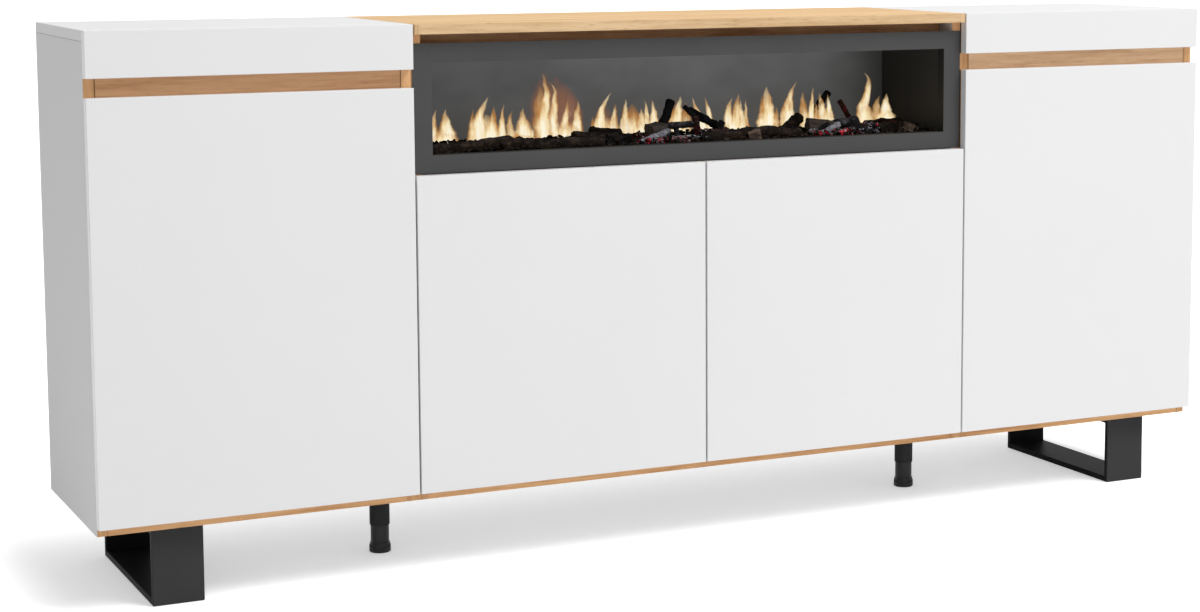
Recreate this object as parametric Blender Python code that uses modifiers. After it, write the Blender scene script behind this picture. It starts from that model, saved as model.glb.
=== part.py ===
"""Electric fireplace sideboard: three cabinets in a row on two sled legs and two levelling feet.

Metres, +Z up. X runs along the front from left to right, the fronts face -Y and the origin is on
the floor under the middle of the sideboard. The outer cabinets have a fascia, a grip groove and one
door each. The middle cabinet has an oak top, an electric fire behind a bezel, and a pair of doors.
"""

import math

import bmesh
import bpy
from mathutils import Matrix, Vector

# Whole sideboard
LENGTH = 2.000
DEPTH = 0.360
BODY_HEIGHT = 0.750
LEG_HEIGHT = 0.120

# Boards, fits and edges
BOARD = 0.016
FRONT_BOARD = 0.016
BACK_BOARD = 0.003
FIT = 0.0003
EDGE_ROUND = 0.0006
FRONT_ROUND = 0.0008
OVERRUN = 0.004
ROUND_STEPS = 16
SMOOTH_ANGLE = math.radians(40)

# Fronts
DOOR_GAP = 0.003
DOOR_SHADOW = 0.0015
DOOR_LIFT = 0.013
FASCIA_HEIGHT = 0.0695
GRIP_GAP = 0.0285
GRIP_RAIL_DROP = 0.022
FIRE_ZONE_HEIGHT = 0.235

# Shelves and backs
SIDE_SHELF_HEIGHT = 0.352
CENTRE_SHELF_HEIGHT = 0.246
SHELF_SETBACK = 0.022
BACK_REVEAL = 0.001
INLET_WINDOW_WIDTH = 0.110
INLET_WINDOW_HEIGHT = 0.070

# Sled legs
LEG_INSET = 0.083
LEG_WIDTH = 0.079
LEG_PLATE = 0.010
LEG_SETBACK = 0.030
LEG_ROUND = 0.0012

# Levelling feet
FOOT_SETBACK = 0.183
FOOT_SLEEVE_RADIUS = 0.0165
FOOT_BORE_RADIUS = 0.0155
FOOT_TUBE_RADIUS = 0.0151
FOOT_BASE_RADIUS = 0.0179
FOOT_BASE_HEIGHT = 0.018
FOOT_SLEEVE_LENGTH = 0.0747
FOOT_TUBE_INSERTION = 0.033
FOOT_PLATE_RADIUS = 0.028
FOOT_PLATE = 0.0025
FOOT_CHAMFER = 0.0014
FOOT_STEPS = 28

# Door hinges: a cup in the door, an arm on the cabinet side, and the axis that they turn about
HINGE_AXIS_INSET = 0.0055
HINGE_AXIS_DEPTH = 0.004
HINGE_END_DISTANCE = 0.090
CUP_INSET = 0.0225
CUP_BORE_RADIUS = 0.0175
CUP_BORE_DEPTH = 0.0120
CUP_WALL = 0.0012
CUP_RIM = 0.001
CUP_FLANGE_LENGTH = 0.050
CUP_FLANGE_WIDTH = 0.012
CUP_SCREW_PITCH = 0.040
CUP_STEPS = 20
HINGE_SCREW_RADIUS = 0.0034
HINGE_SCREW_HEAD = 0.0006
HINGE_SCREW_SIDES = 10
ARM_THICKNESS = 0.011
ARM_WIDTH = 0.014
ARM_LENGTH = 0.062
ARM_NOSE_GAP = 0.0006
ARM_ROUND = 0.001
ARM_PLATE = 0.0022
ARM_PLATE_WIDTH = 0.038
ARM_PLATE_LENGTH = 0.026
ARM_PLATE_SETBACK = 0.026
ARM_SCREW_SETBACKS = (0.032, 0.050)

# Push latches in the front edge of the fire deck
LATCH_RADIUS = 0.004
LATCH_BORE_RADIUS = 0.0044
LATCH_LENGTH = 0.030
LATCH_BORE_DEPTH = 0.034
LATCH_DISTANCE = 0.030

# Fire bezel
BEZEL_LIFT = 0.0015
BEZEL_SLOT = 0.0145
BEZEL_STILE = 0.032
BEZEL_BOTTOM_RAIL = 0.0285
BEZEL_TOP_RAIL = 0.0305
BEZEL_SHEET = 0.0012
BEZEL_RETURN = 0.020

# Fire housing and what it holds
HOUSING_SIDE_GAP = 0.0010
HOUSING_RAIL_GAP = 0.002
HOUSING_BACK_SPACE = 0.028
HOUSING_SHEET = 0.002
LAMP_SPACE_DEPTH = 0.082
SCREEN_SHEET = 0.003
VENT_RAIL_SETBACK = 0.058
VENT_RAIL_DROP = 0.028
BED_FRONT_SETBACK = 0.042
BED_END_GAP = 0.008
BED_HEIGHT = 0.030
BED_REAR_GAP = 0.004
LOG_SIDES = 9
ROTOR_FROM_REAR = 0.039
ROTOR_LIFT = 0.055
ROTOR_SHAFT_RADIUS = 0.003
ROTOR_BORE_RADIUS = 0.0036
ROTOR_BLADE_WIDTH = 0.030
ROTOR_BLADE_SHEET = 0.001
ROTOR_BLADE_LENGTH_SHARE = 0.8
ROTOR_BLADES = 14
ROTOR_TWIST = math.radians(38)
ROTOR_SEAT_DEPTH = 0.008
ROTOR_END_GAP = 0.001
BEARING_THICKNESS = 0.014
BEARING_SIDE = 0.026
MOTOR_LENGTH = 0.036
MOTOR_SIDE = 0.044
LED_BAR_END_GAP = 0.0416
LED_BAR_WIDTH = 0.024
LED_BAR_HEIGHT = 0.010
LED_COUNT = 22
LED_SIDE = 0.0050
LED_PROUD = 0.0012
INLET_END_DISTANCE = 0.1236
INLET_LIFT = 0.085
INLET_WIDTH = 0.034
INLET_TALL = 0.026
INLET_DEPTH = 0.022
INLET_WALL = 0.003
INLET_CAVITY = 0.018
INLET_FLANGE_WIDTH = 0.052
INLET_FLANGE = 0.003
PIN_LENGTH = 0.011
PIN_WIDTH = 0.004
PIN_SHEET = 0.002
PIN_SPREAD = 0.007
PIN_DROP = 0.003

# Logs on the ember bed: centre along the bed and across it, length and radius as shares of the
# bed's length and height, then the turn about +Z and the tilt in degrees
LOG_SHARES = (
    (-0.40, 0.10, 0.150, 0.42, 12, 3),
    (-0.27, -0.12, 0.120, 0.36, -20, -4),
    (-0.13, 0.14, 0.170, 0.44, 6, 2),
    (0.02, -0.08, 0.140, 0.38, -12, 4),
    (0.14, 0.16, 0.150, 0.46, 18, -3),
    (0.27, -0.06, 0.130, 0.40, -8, 5),
    (0.40, 0.08, 0.160, 0.50, 14, -5),
)
LOG_TIP_SHARE = 0.8
LOG_SINK_SHARE = 0.25
EMBER_SHARES = (-0.44, -0.34, -0.20, -0.07, 0.08, 0.21, 0.34, 0.45)
EMBER_RADIUS_SHARE = 0.55
EMBER_ROW_SHARE = 0.25

# Finishes: colour, roughness, metallic
WHITE_BOARD = ((0.76, 0.76, 0.76), 0.42, 0.0)
OAK = ((0.62, 0.40, 0.22), 0.55, 0.0)
SHADED_OAK = ((0.30, 0.17, 0.09), 0.60, 0.0)
BACK_PANEL = ((0.66, 0.66, 0.65), 0.60, 0.0)
BLACK_STEEL = ((0.018, 0.018, 0.019), 0.38, 0.0)
ANTHRACITE = ((0.085, 0.087, 0.090), 0.50, 0.0)
HOUSING_BLACK = ((0.020, 0.020, 0.020), 0.60, 0.0)
SMOKED_SCREEN = ((0.075, 0.077, 0.080), 0.35, 0.0)
CHARCOAL = ((0.060, 0.040, 0.030), 0.90, 0.0)
NICKEL = ((0.60, 0.60, 0.58), 0.30, 1.0)
FOIL = ((0.85, 0.85, 0.83), 0.15, 1.0)
BLACK_PLASTIC = ((0.025, 0.025, 0.027), 0.45, 0.0)
GREY_PLASTIC = ((0.30, 0.30, 0.31), 0.50, 0.0)
LED_BOARD = ((0.80, 0.78, 0.70), 0.50, 0.0)

# Places worked out from the sizes above
HALF = LENGTH / 2
FRONT = -DEPTH / 2
BACK = DEPTH / 2
DOOR_BACK = FRONT + FRONT_BOARD
CARCASS_FRONT = DOOR_BACK + DOOR_SHADOW
CARCASS_BACK = BACK - BACK_BOARD - FIT
BOTTOM = LEG_HEIGHT
TOP = LEG_HEIGHT + BODY_HEIGHT
DOOR_WIDTH = (LENGTH - 3 * DOOR_GAP) / 4
MODULE_EDGE = DOOR_WIDTH + DOOR_GAP
SIDE_INNER = MODULE_EDGE + FIT / 2
CENTRE_HALF = MODULE_EDGE - FIT / 2
CENTRE_CLEAR = CENTRE_HALF - BOARD
CENTRE_DOOR_EDGE = DOOR_GAP / 2 + DOOR_WIDTH
SIDE_DOOR_TOP = TOP - FASCIA_HEIGHT - GRIP_GAP
DECK_TOP = TOP - FIRE_ZONE_HEIGHT
DECK_UNDER = DECK_TOP - BOARD
TOP_UNDER = TOP - BOARD
BOARD_TOP = TOP_UNDER - FIT
FLOOR_BOARD_TOP = BOTTOM + BOARD
HOUSING_HALF = CENTRE_CLEAR - HOUSING_SIDE_GAP
HOUSING_FLOOR = DECK_TOP + FIT
HOUSING_BACK = BACK - HOUSING_BACK_SPACE
CHAMBER_HALF = HOUSING_HALF - HOUSING_SHEET
CHAMBER_FLOOR = HOUSING_FLOOR + HOUSING_SHEET
HOUSING_TOP = TOP_UNDER - VENT_RAIL_DROP - HOUSING_RAIL_GAP
CHAMBER_TOP = HOUSING_TOP - HOUSING_SHEET
BEZEL_HALF = CENTRE_DOOR_EDGE
BEZEL_TOP = TOP_UNDER - BEZEL_SLOT
BEZEL_OPEN_HALF = BEZEL_HALF - BEZEL_STILE
BEZEL_OPEN_BOTTOM = DECK_TOP + BEZEL_LIFT + BEZEL_BOTTOM_RAIL
BEZEL_OPEN_TOP = BEZEL_TOP - BEZEL_TOP_RAIL
BEZEL_BACK = CARCASS_FRONT - FIT
BEZEL_FRONT = BEZEL_BACK - BEZEL_SHEET
SCREEN_FRONT = HOUSING_BACK - LAMP_SPACE_DEPTH
ROTOR_Y = HOUSING_BACK - ROTOR_FROM_REAR
ROTOR_Z = DECK_TOP + ROTOR_LIFT
INLET_X = HOUSING_HALF - INLET_END_DISTANCE
INLET_Z = DECK_TOP + INLET_LIFT


def clear_scene():
    """Removes what is in the open file, so that a second run makes the same model."""
    for thing in list(bpy.data.objects):
        bpy.data.objects.remove(thing, do_unlink=True)


def collection(name):
    """A new collection in the scene."""
    made = bpy.data.collections.new(name)
    bpy.context.scene.collection.children.link(made)
    return made


clear_scene()
PIECES = collection("electric_fireplace_sideboard")
CUTTERS = collection("cutters")


def finished(piece, look):
    """Gives a piece its own material."""
    colour, roughness, metallic = look
    material = bpy.data.materials.new(piece.name + "_finish")
    material.use_nodes = True
    shader = material.node_tree.nodes["Principled BSDF"]
    shader.inputs["Base Color"].default_value = (*colour, 1.0)
    shader.inputs["Roughness"].default_value = roughness
    shader.inputs["Metallic"].default_value = metallic
    piece.data.materials.append(material)
    return piece


def object_from(name, shape, look):
    """A bmesh made into an object: a piece with a look, or a hidden cutter without one."""
    mesh = bpy.data.meshes.new(name)
    shape.to_mesh(mesh)
    shape.free()
    piece = bpy.data.objects.new(name, mesh)
    if look is None:
        piece.hide_render = True
        piece.display_type = "WIRE"
        CUTTERS.objects.link(piece)
    else:
        PIECES.objects.link(piece)
        finished(piece, look)
    return piece


def soften(piece, width, segments=1):
    """Rounds the edges of a piece."""
    bevel = piece.modifiers.new("rounded_edges", "BEVEL")
    bevel.width = width
    bevel.segments = segments
    bevel.limit_method = "ANGLE"
    return piece


def block(name, low, high, look=None, rounding=EDGE_ROUND, segments=1):
    """A rectangular piece between two corners."""
    low, high = Vector(low), Vector(high)
    shape = bmesh.new()
    bmesh.ops.create_cube(shape, size=1)
    bmesh.ops.scale(shape, vec=high - low, verts=shape.verts)
    piece = object_from(name, shape, look)
    piece.location = (low + high) / 2
    if look is not None and rounding:
        soften(piece, rounding, segments)
    return piece


def rod(name, start, end, radius, sides, look=None, tip=None):
    """A cylinder, or a cone with a tip radius, between two points."""
    start, end = Vector(start), Vector(end)
    run = end - start
    shape = bmesh.new()
    bmesh.ops.create_cone(
        shape,
        cap_ends=True,
        segments=sides,
        radius1=radius,
        radius2=radius if tip is None else tip,
        depth=run.length,
    )
    piece = object_from(name, shape, look)
    piece.rotation_euler = run.to_track_quat("Z", "Y").to_euler()
    piece.location = (start + end) / 2
    piece.data.shade_smooth()
    piece.data.set_sharp_from_angle(angle=SMOOTH_ANGLE)
    return piece


def turned(name, profile, steps, look):
    """A turned piece about its own Z axis from (radius, height) points."""
    shape = bmesh.new()
    points = [shape.verts.new((radius, 0, height)) for radius, height in profile]
    for first, second in zip(points, points[1:]):
        shape.edges.new((first, second))
    if profile[0][0] > 0:
        shape.edges.new((points[-1], points[0]))
    piece = object_from(name, shape, look)
    screw = piece.modifiers.new("turned", "SCREW")
    screw.steps = steps
    screw.render_steps = steps
    screw.use_merge_vertices = True
    screw.merge_threshold = FIT / 10
    return piece


def carve(piece, cutter, operation="DIFFERENCE"):
    """Cuts a piece by a cutter, or joins the cutter's shape to it."""
    cut = piece.modifiers.new(operation.lower(), "BOOLEAN")
    cut.operation = operation
    cut.solver = "EXACT"
    cut.object = cutter
    return piece


def carve_all(piece, cutters, operation="DIFFERENCE"):
    """Cuts or joins several shapes, one after another."""
    for cutter in cutters:
        carve(piece, cutter, operation)
    return piece


def axis_empty(name, place):
    """An empty on the axis or the line of travel of a moving piece."""
    empty = bpy.data.objects.new(name, None)
    empty.location = place
    PIECES.objects.link(empty)
    return empty


def carry(empty, *pieces):
    """Parents pieces to an empty and leaves them where they are."""
    for piece in pieces:
        piece.parent = empty
        piece.location = piece.location - empty.location


def span(side, near, far):
    """Low and high X of a stretch that lies from near to far on one side of the middle."""
    return (near, far) if side > 0 else (-far, -near)


def side_cabinet(word, side):
    """An outer cabinet without its door."""
    low_x, high_x = span(side, SIDE_INNER, HALF)
    outer = span(side, HALF - BOARD, HALF)
    inner = span(side, SIDE_INNER, SIDE_INNER + BOARD)
    clear = span(side, SIDE_INNER + BOARD + FIT, HALF - BOARD - FIT)
    fascia = span(side, CENTRE_DOOR_EDGE + DOOR_GAP, HALF)
    back = span(side, SIDE_INNER + BACK_REVEAL, HALF - BACK_REVEAL)
    for name, (low, high) in ((f"{word}_outer_side", outer), (f"{word}_inner_side", inner)):
        block(name, (low, CARCASS_FRONT, BOTTOM), (high, CARCASS_BACK, BOARD_TOP), WHITE_BOARD)
    block(
        f"{word}_top",
        (low_x, CARCASS_FRONT, TOP_UNDER),
        (high_x, CARCASS_BACK, TOP),
        WHITE_BOARD,
    )
    block(
        f"{word}_bottom",
        (clear[0], CARCASS_FRONT, BOTTOM),
        (clear[1], CARCASS_BACK, FLOOR_BOARD_TOP),
        WHITE_BOARD,
    )
    block(
        f"{word}_back",
        (back[0], CARCASS_BACK + FIT, BOTTOM + BACK_REVEAL),
        (back[1], BACK, TOP - BACK_REVEAL),
        BACK_PANEL,
        rounding=0,
    )
    block(
        f"{word}_shelf",
        (clear[0], CARCASS_FRONT + SHELF_SETBACK, BOTTOM + SIDE_SHELF_HEIGHT),
        (clear[1], CARCASS_BACK - FIT, BOTTOM + SIDE_SHELF_HEIGHT + BOARD),
        WHITE_BOARD,
    )
    block(
        f"{word}_grip_rail",
        (clear[0], CARCASS_FRONT, SIDE_DOOR_TOP - GRIP_RAIL_DROP),
        (clear[1], CARCASS_FRONT + BOARD, BOARD_TOP),
        OAK,
    )
    block(
        f"{word}_fascia",
        (fascia[0], FRONT, TOP - FASCIA_HEIGHT),
        (fascia[1], CARCASS_FRONT - FIT, TOP),
        WHITE_BOARD,
        rounding=FRONT_ROUND,
        segments=2,
    )


def centre_cabinet():
    """The middle cabinet without its doors and its fire."""
    for word, side in (("left", -1), ("right", 1)):
        low, high = span(side, CENTRE_CLEAR, CENTRE_HALF)
        block(
            f"centre_{word}_side",
            (low, CARCASS_FRONT, BOTTOM),
            (high, CARCASS_BACK, BOARD_TOP),
            WHITE_BOARD,
        )
    clear = CENTRE_CLEAR - FIT
    block(
        "centre_top",
        (-CENTRE_DOOR_EDGE, FRONT, TOP_UNDER),
        (CENTRE_DOOR_EDGE, CARCASS_BACK, TOP),
        OAK,
        rounding=FRONT_ROUND,
        segments=2,
    )
    block(
        "centre_bottom",
        (-clear, CARCASS_FRONT, BOTTOM),
        (clear, CARCASS_BACK, FLOOR_BOARD_TOP),
        WHITE_BOARD,
    )
    block(
        "centre_shelf",
        (-clear, CARCASS_FRONT + SHELF_SETBACK, BOTTOM + CENTRE_SHELF_HEIGHT),
        (clear, CARCASS_BACK - FIT, BOTTOM + CENTRE_SHELF_HEIGHT + BOARD),
        WHITE_BOARD,
    )
    rail_front = FRONT + VENT_RAIL_SETBACK
    block(
        "centre_vent_rail",
        (-clear, rail_front, TOP_UNDER - VENT_RAIL_DROP),
        (clear, rail_front + BOARD, BOARD_TOP),
        SHADED_OAK,
    )
    deck = block(
        "fire_deck",
        (-clear, CARCASS_FRONT, DECK_UNDER),
        (clear, CARCASS_BACK, DECK_TOP),
        WHITE_BOARD,
    )
    back_half = CENTRE_HALF - BACK_REVEAL
    back = block(
        "centre_back",
        (-back_half, CARCASS_BACK + FIT, BOTTOM + BACK_REVEAL),
        (back_half, BACK, TOP - BACK_REVEAL),
        BACK_PANEL,
        rounding=0,
    )
    window_x, window_z = INLET_WINDOW_WIDTH / 2, INLET_WINDOW_HEIGHT / 2
    middle = Vector((INLET_X, BACK, INLET_Z))
    reach = Vector((window_x, BACK_BOARD + OVERRUN, window_z))
    carve(back, block("inlet_window", middle - reach, middle + reach))
    return deck


def push_latches(deck):
    """Sprung plungers in the deck's front edge, one behind the free edge of each centre door."""
    height = (DECK_UNDER + DECK_TOP) / 2
    for word, side in (("left", -1), ("right", 1)):
        place = side * (DOOR_GAP / 2 + LATCH_DISTANCE)
        carve(
            deck,
            rod(
                f"{word}_latch_bore",
                (place, CARCASS_FRONT - OVERRUN, height),
                (place, CARCASS_FRONT + LATCH_BORE_DEPTH, height),
                LATCH_BORE_RADIUS,
                ROUND_STEPS,
            ),
        )
        tip = DOOR_BACK + FIT
        plunger = rod(
            f"centre_{word}_push_latch",
            (place, tip, height),
            (place, tip + LATCH_LENGTH, height),
            LATCH_RADIUS,
            ROUND_STEPS,
            GREY_PLASTIC,
        )
        carry(axis_empty(f"centre_{word}_push_latch_axis", (place, tip, height)), plunger)


def hinge_cup(name, centre_x, height):
    """The cup, its flange and two screw heads, seated in a bore in the door's back."""
    radius = CUP_BORE_RADIUS - FIT
    floor_y = DOOR_BACK - CUP_BORE_DEPTH + FIT
    rim_y = DOOR_BACK + CUP_RIM
    deep = rim_y - floor_y
    inner = radius - CUP_WALL
    profile = (
        (0, CUP_WALL),
        (inner, CUP_WALL),
        (inner, deep),
        (radius, deep),
        (radius, 0),
        (0, 0),
    )
    cup = turned(name, profile, CUP_STEPS, NICKEL)
    cup.rotation_euler = Matrix.Rotation(math.radians(-90), 3, "X").to_euler()
    cup.location = (centre_x, floor_y, height)
    long, wide = CUP_FLANGE_LENGTH / 2, CUP_FLANGE_WIDTH / 2
    flange = block(
        name + "_flange",
        (centre_x - wide, DOOR_BACK + FIT, height - long),
        (centre_x + wide, rim_y, height + long),
    )
    heads = [
        rod(
            f"{name}_screw_{word}",
            (centre_x, DOOR_BACK + CUP_RIM / 2, height + way * CUP_SCREW_PITCH / 2),
            (centre_x, rim_y + HINGE_SCREW_HEAD, height + way * CUP_SCREW_PITCH / 2),
            HINGE_SCREW_RADIUS,
            HINGE_SCREW_SIDES,
        )
        for word, way in (("low", -1), ("high", 1))
    ]
    carve_all(cup, [flange, *heads], "UNION")
    mouth = rod(
        name + "_mouth",
        (centre_x, floor_y + 2 * CUP_WALL, height),
        (centre_x, rim_y + OVERRUN, height),
        inner,
        CUP_STEPS,
    )
    return carve(cup, mouth)


def hinge_arm(name, wall_x, inward, height):
    """The arm on its mounting plate, fixed to the inner face of the cabinet side."""

    def across(near, far):
        ends = sorted((wall_x + inward * near, wall_x + inward * far))
        return ends[0], ends[1]

    low, high = across(FIT, ARM_THICKNESS)
    nose = CARCASS_FRONT + ARM_NOSE_GAP
    arm = block(
        name,
        (low, nose, height - ARM_WIDTH / 2),
        (high, nose + ARM_LENGTH, height + ARM_WIDTH / 2),
        NICKEL,
        rounding=ARM_ROUND,
    )
    low, high = across(FIT, ARM_PLATE)
    rear = CARCASS_FRONT + ARM_PLATE_SETBACK
    plate = block(
        name + "_plate",
        (low, rear, height - ARM_PLATE_WIDTH / 2),
        (high, rear + ARM_PLATE_LENGTH, height + ARM_PLATE_WIDTH / 2),
    )
    face = wall_x + inward * ARM_THICKNESS
    screws = [
        rod(
            f"{name}_screw_{index}",
            (face - inward * ARM_ROUND, CARCASS_FRONT + setback, height),
            (face + inward * HINGE_SCREW_HEAD, CARCASS_FRONT + setback, height),
            HINGE_SCREW_RADIUS,
            HINGE_SCREW_SIDES,
        )
        for index, setback in enumerate(ARM_SCREW_SETBACKS)
    ]
    return carve_all(arm, [plate, *screws], "UNION")


def hinged_door(name, hinge_x, inward, wall_x, top):
    """A door, its two hinges and the empty on the axis that they turn about."""
    bottom = BOTTOM + DOOR_LIFT
    low, high = sorted((hinge_x, hinge_x + inward * DOOR_WIDTH))
    door = block(
        name,
        (low, FRONT, bottom),
        (high, DOOR_BACK, top),
        WHITE_BOARD,
        rounding=FRONT_ROUND,
        segments=2,
    )
    axis = axis_empty(
        name + "_axis",
        (hinge_x + inward * HINGE_AXIS_INSET, FRONT + HINGE_AXIS_DEPTH, bottom),
    )
    centre_x = hinge_x + inward * CUP_INSET
    for word, height in (("upper", top - HINGE_END_DISTANCE), ("lower", bottom + HINGE_END_DISTANCE)):
        carve(
            door,
            rod(
                f"{name}_{word}_cup_bore",
                (centre_x, DOOR_BACK - CUP_BORE_DEPTH, height),
                (centre_x, DOOR_BACK + OVERRUN, height),
                CUP_BORE_RADIUS,
                CUP_STEPS,
            ),
        )
        carry(axis, hinge_cup(f"{name}_{word}_hinge_cup", centre_x, height))
        hinge_arm(f"{name}_{word}_hinge_arm", wall_x, inward, height)
    carry(axis, door)


def doors():
    """The four doors. Each outer cabinet has one, and the middle cabinet has a pair."""
    for word, side in (("left", -1), ("right", 1)):
        wall_x = side * (HALF - BOARD)
        hinged_door(f"{word}_door", side * HALF, -side, wall_x, SIDE_DOOR_TOP)
        edge, wall_x = side * CENTRE_DOOR_EDGE, side * CENTRE_CLEAR
        hinged_door(f"centre_{word}_door", edge, -side, wall_x, DECK_TOP)


def sled_leg(word, side):
    """A closed loop of flat bar that runs from front to back under an outer cabinet."""
    low, high = span(side, HALF - LEG_INSET - LEG_WIDTH, HALF - LEG_INSET)
    near = FRONT + LEG_SETBACK
    top = LEG_HEIGHT - FIT
    leg = block(
        f"{word}_sled_leg",
        (low, near, 0),
        (high, BACK, top),
        BLACK_STEEL,
        rounding=0,
    )
    hole = block(
        f"{word}_sled_hole",
        (low - OVERRUN, near + LEG_PLATE, LEG_PLATE),
        (high + OVERRUN, BACK - LEG_PLATE, top - LEG_PLATE),
    )
    carve(leg, hole)
    soften(leg, LEG_ROUND)


def levelling_foot(word, centre_x):
    """A sleeve under the cabinets and the adjuster that slides up into it."""
    place = (centre_x, FRONT + FOOT_SETBACK, 0)
    top = LEG_HEIGHT - FIT
    plate_under = top - FOOT_PLATE
    sleeve_bottom = top - FOOT_SLEEVE_LENGTH
    tube_top = sleeve_bottom + FOOT_TUBE_INSERTION
    sleeve_profile = (
        (0, top),
        (FOOT_PLATE_RADIUS, top),
        (FOOT_PLATE_RADIUS, plate_under),
        (FOOT_SLEEVE_RADIUS, plate_under),
        (FOOT_SLEEVE_RADIUS, sleeve_bottom + FOOT_CHAMFER),
        (FOOT_BORE_RADIUS + FIT, sleeve_bottom),
        (FOOT_BORE_RADIUS, sleeve_bottom),
        (FOOT_BORE_RADIUS, plate_under),
        (0, plate_under),
    )
    turned(f"{word}_foot_sleeve", sleeve_profile, FOOT_STEPS, BLACK_STEEL).location = place
    waist = (FOOT_TUBE_RADIUS + FOOT_BASE_RADIUS) / 2
    adjuster_profile = (
        (0, tube_top),
        (FOOT_TUBE_RADIUS - FOOT_CHAMFER, tube_top),
        (FOOT_TUBE_RADIUS, tube_top - FOOT_CHAMFER),
        (FOOT_TUBE_RADIUS, FOOT_BASE_HEIGHT),
        (waist, FOOT_BASE_HEIGHT - 2 * FOOT_CHAMFER),
        (FOOT_BASE_RADIUS, FOOT_CHAMFER),
        (FOOT_BASE_RADIUS - FOOT_CHAMFER, 0),
        (0, 0),
    )
    adjuster = turned(f"{word}_foot_adjuster", adjuster_profile, FOOT_STEPS, BLACK_STEEL)
    adjuster.location = place
    carry(axis_empty(f"{word}_foot_axis", place), adjuster)


def fire_housing():
    """The steel box of the fire, open at the front, with a bearing for the flame rotor."""
    low = Vector((-HOUSING_HALF, CARCASS_FRONT + FIT, HOUSING_FLOOR))
    high = Vector((HOUSING_HALF, HOUSING_BACK, HOUSING_TOP))
    shape = bmesh.new()
    bmesh.ops.create_cube(shape, size=1)
    bmesh.ops.scale(shape, vec=high - low, verts=shape.verts)
    front = [face for face in shape.faces if face.normal.y < -FIT]
    bmesh.ops.delete(shape, geom=front, context="FACES_ONLY")
    housing = object_from("fire_housing", shape, HOUSING_BLACK)
    housing.location = (low + high) / 2
    wall = housing.modifiers.new("sheet", "SOLIDIFY")
    wall.thickness = HOUSING_SHEET
    wall.offset = -1
    wall.use_even_offset = True
    seat = -CHAMBER_HALF + BEARING_THICKNESS
    half = BEARING_SIDE / 2
    bearing = block(
        "rotor_bearing",
        (-CHAMBER_HALF - HOUSING_SHEET / 2, ROTOR_Y - half, ROTOR_Z - half),
        (seat, ROTOR_Y + half, ROTOR_Z + half),
    )
    bore = rod(
        "rotor_bearing_bore",
        (seat - ROTOR_SEAT_DEPTH - ROTOR_END_GAP, ROTOR_Y, ROTOR_Z),
        (seat + OVERRUN, ROTOR_Y, ROTOR_Z),
        ROTOR_BORE_RADIUS,
        ROUND_STEPS,
    )
    carve(carve(housing, bearing, "UNION"), bore)


def fire_bezel():
    """The folded steel frame round the fire's opening, with a return into the housing."""
    bezel = block(
        "fire_bezel",
        (-BEZEL_HALF, BEZEL_FRONT, DECK_TOP + BEZEL_LIFT),
        (BEZEL_HALF, BEZEL_BACK, BEZEL_TOP),
        ANTHRACITE,
        rounding=0,
    )
    outer = BEZEL_OPEN_HALF + BEZEL_SHEET
    fold = block(
        "bezel_return",
        (-outer, BEZEL_FRONT + BEZEL_SHEET / 2, BEZEL_OPEN_BOTTOM - BEZEL_SHEET),
        (outer, BEZEL_FRONT + BEZEL_RETURN, BEZEL_OPEN_TOP + BEZEL_SHEET),
    )
    opening = block(
        "bezel_opening",
        (-BEZEL_OPEN_HALF, BEZEL_FRONT - OVERRUN, BEZEL_OPEN_BOTTOM),
        (BEZEL_OPEN_HALF, BEZEL_FRONT + BEZEL_RETURN + OVERRUN, BEZEL_OPEN_TOP),
    )
    carve(carve(bezel, fold, "UNION"), opening)


def flame_screen():
    """The smoked panel across the housing that the flames show on."""
    half = CHAMBER_HALF - FIT
    block(
        "flame_screen",
        (-half, SCREEN_FRONT, CHAMBER_FLOOR + FIT),
        (half, SCREEN_FRONT + SCREEN_SHEET, CHAMBER_TOP - FIT),
        SMOKED_SCREEN,
        rounding=0,
    )


def ember_bed():
    """The tray of charred bark with its logs and embers, moulded in one."""
    half = CHAMBER_HALF - BED_END_GAP
    near, far = FRONT + BED_FRONT_SETBACK, SCREEN_FRONT - BED_REAR_GAP
    low, high = CHAMBER_FLOOR + FIT, CHAMBER_FLOOR + BED_HEIGHT
    bed = block("ember_bed", (-half, near, low), (half, far, high), CHARCOAL, rounding=BED_REAR_GAP)
    long, deep, tall = 2 * half, far - near, high - low
    middle_y = (near + far) / 2
    for index, (along, over, length, thick, turn, tilt) in enumerate(LOG_SHARES):
        run = Vector((length * long / 2, 0, 0))
        run.rotate(Matrix.Rotation(math.radians(tilt), 3, "Y"))
        run.rotate(Matrix.Rotation(math.radians(turn), 3, "Z"))
        radius = thick * tall
        centre = Vector((along * long, middle_y + over * deep, high + LOG_SINK_SHARE * radius))
        log = rod(
            f"log_{index}",
            centre - run,
            centre + run,
            radius,
            LOG_SIDES,
            tip=LOG_TIP_SHARE * radius,
        )
        carve(bed, log, "UNION")
    for index, along in enumerate(EMBER_SHARES):
        shape = bmesh.new()
        bmesh.ops.create_icosphere(shape, subdivisions=1, radius=EMBER_RADIUS_SHARE * tall)
        lump = object_from(f"ember_{index}", shape, None)
        lump.location = (along * long, near + EMBER_ROW_SHARE * deep, high)
        carve(bed, lump, "UNION")


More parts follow.
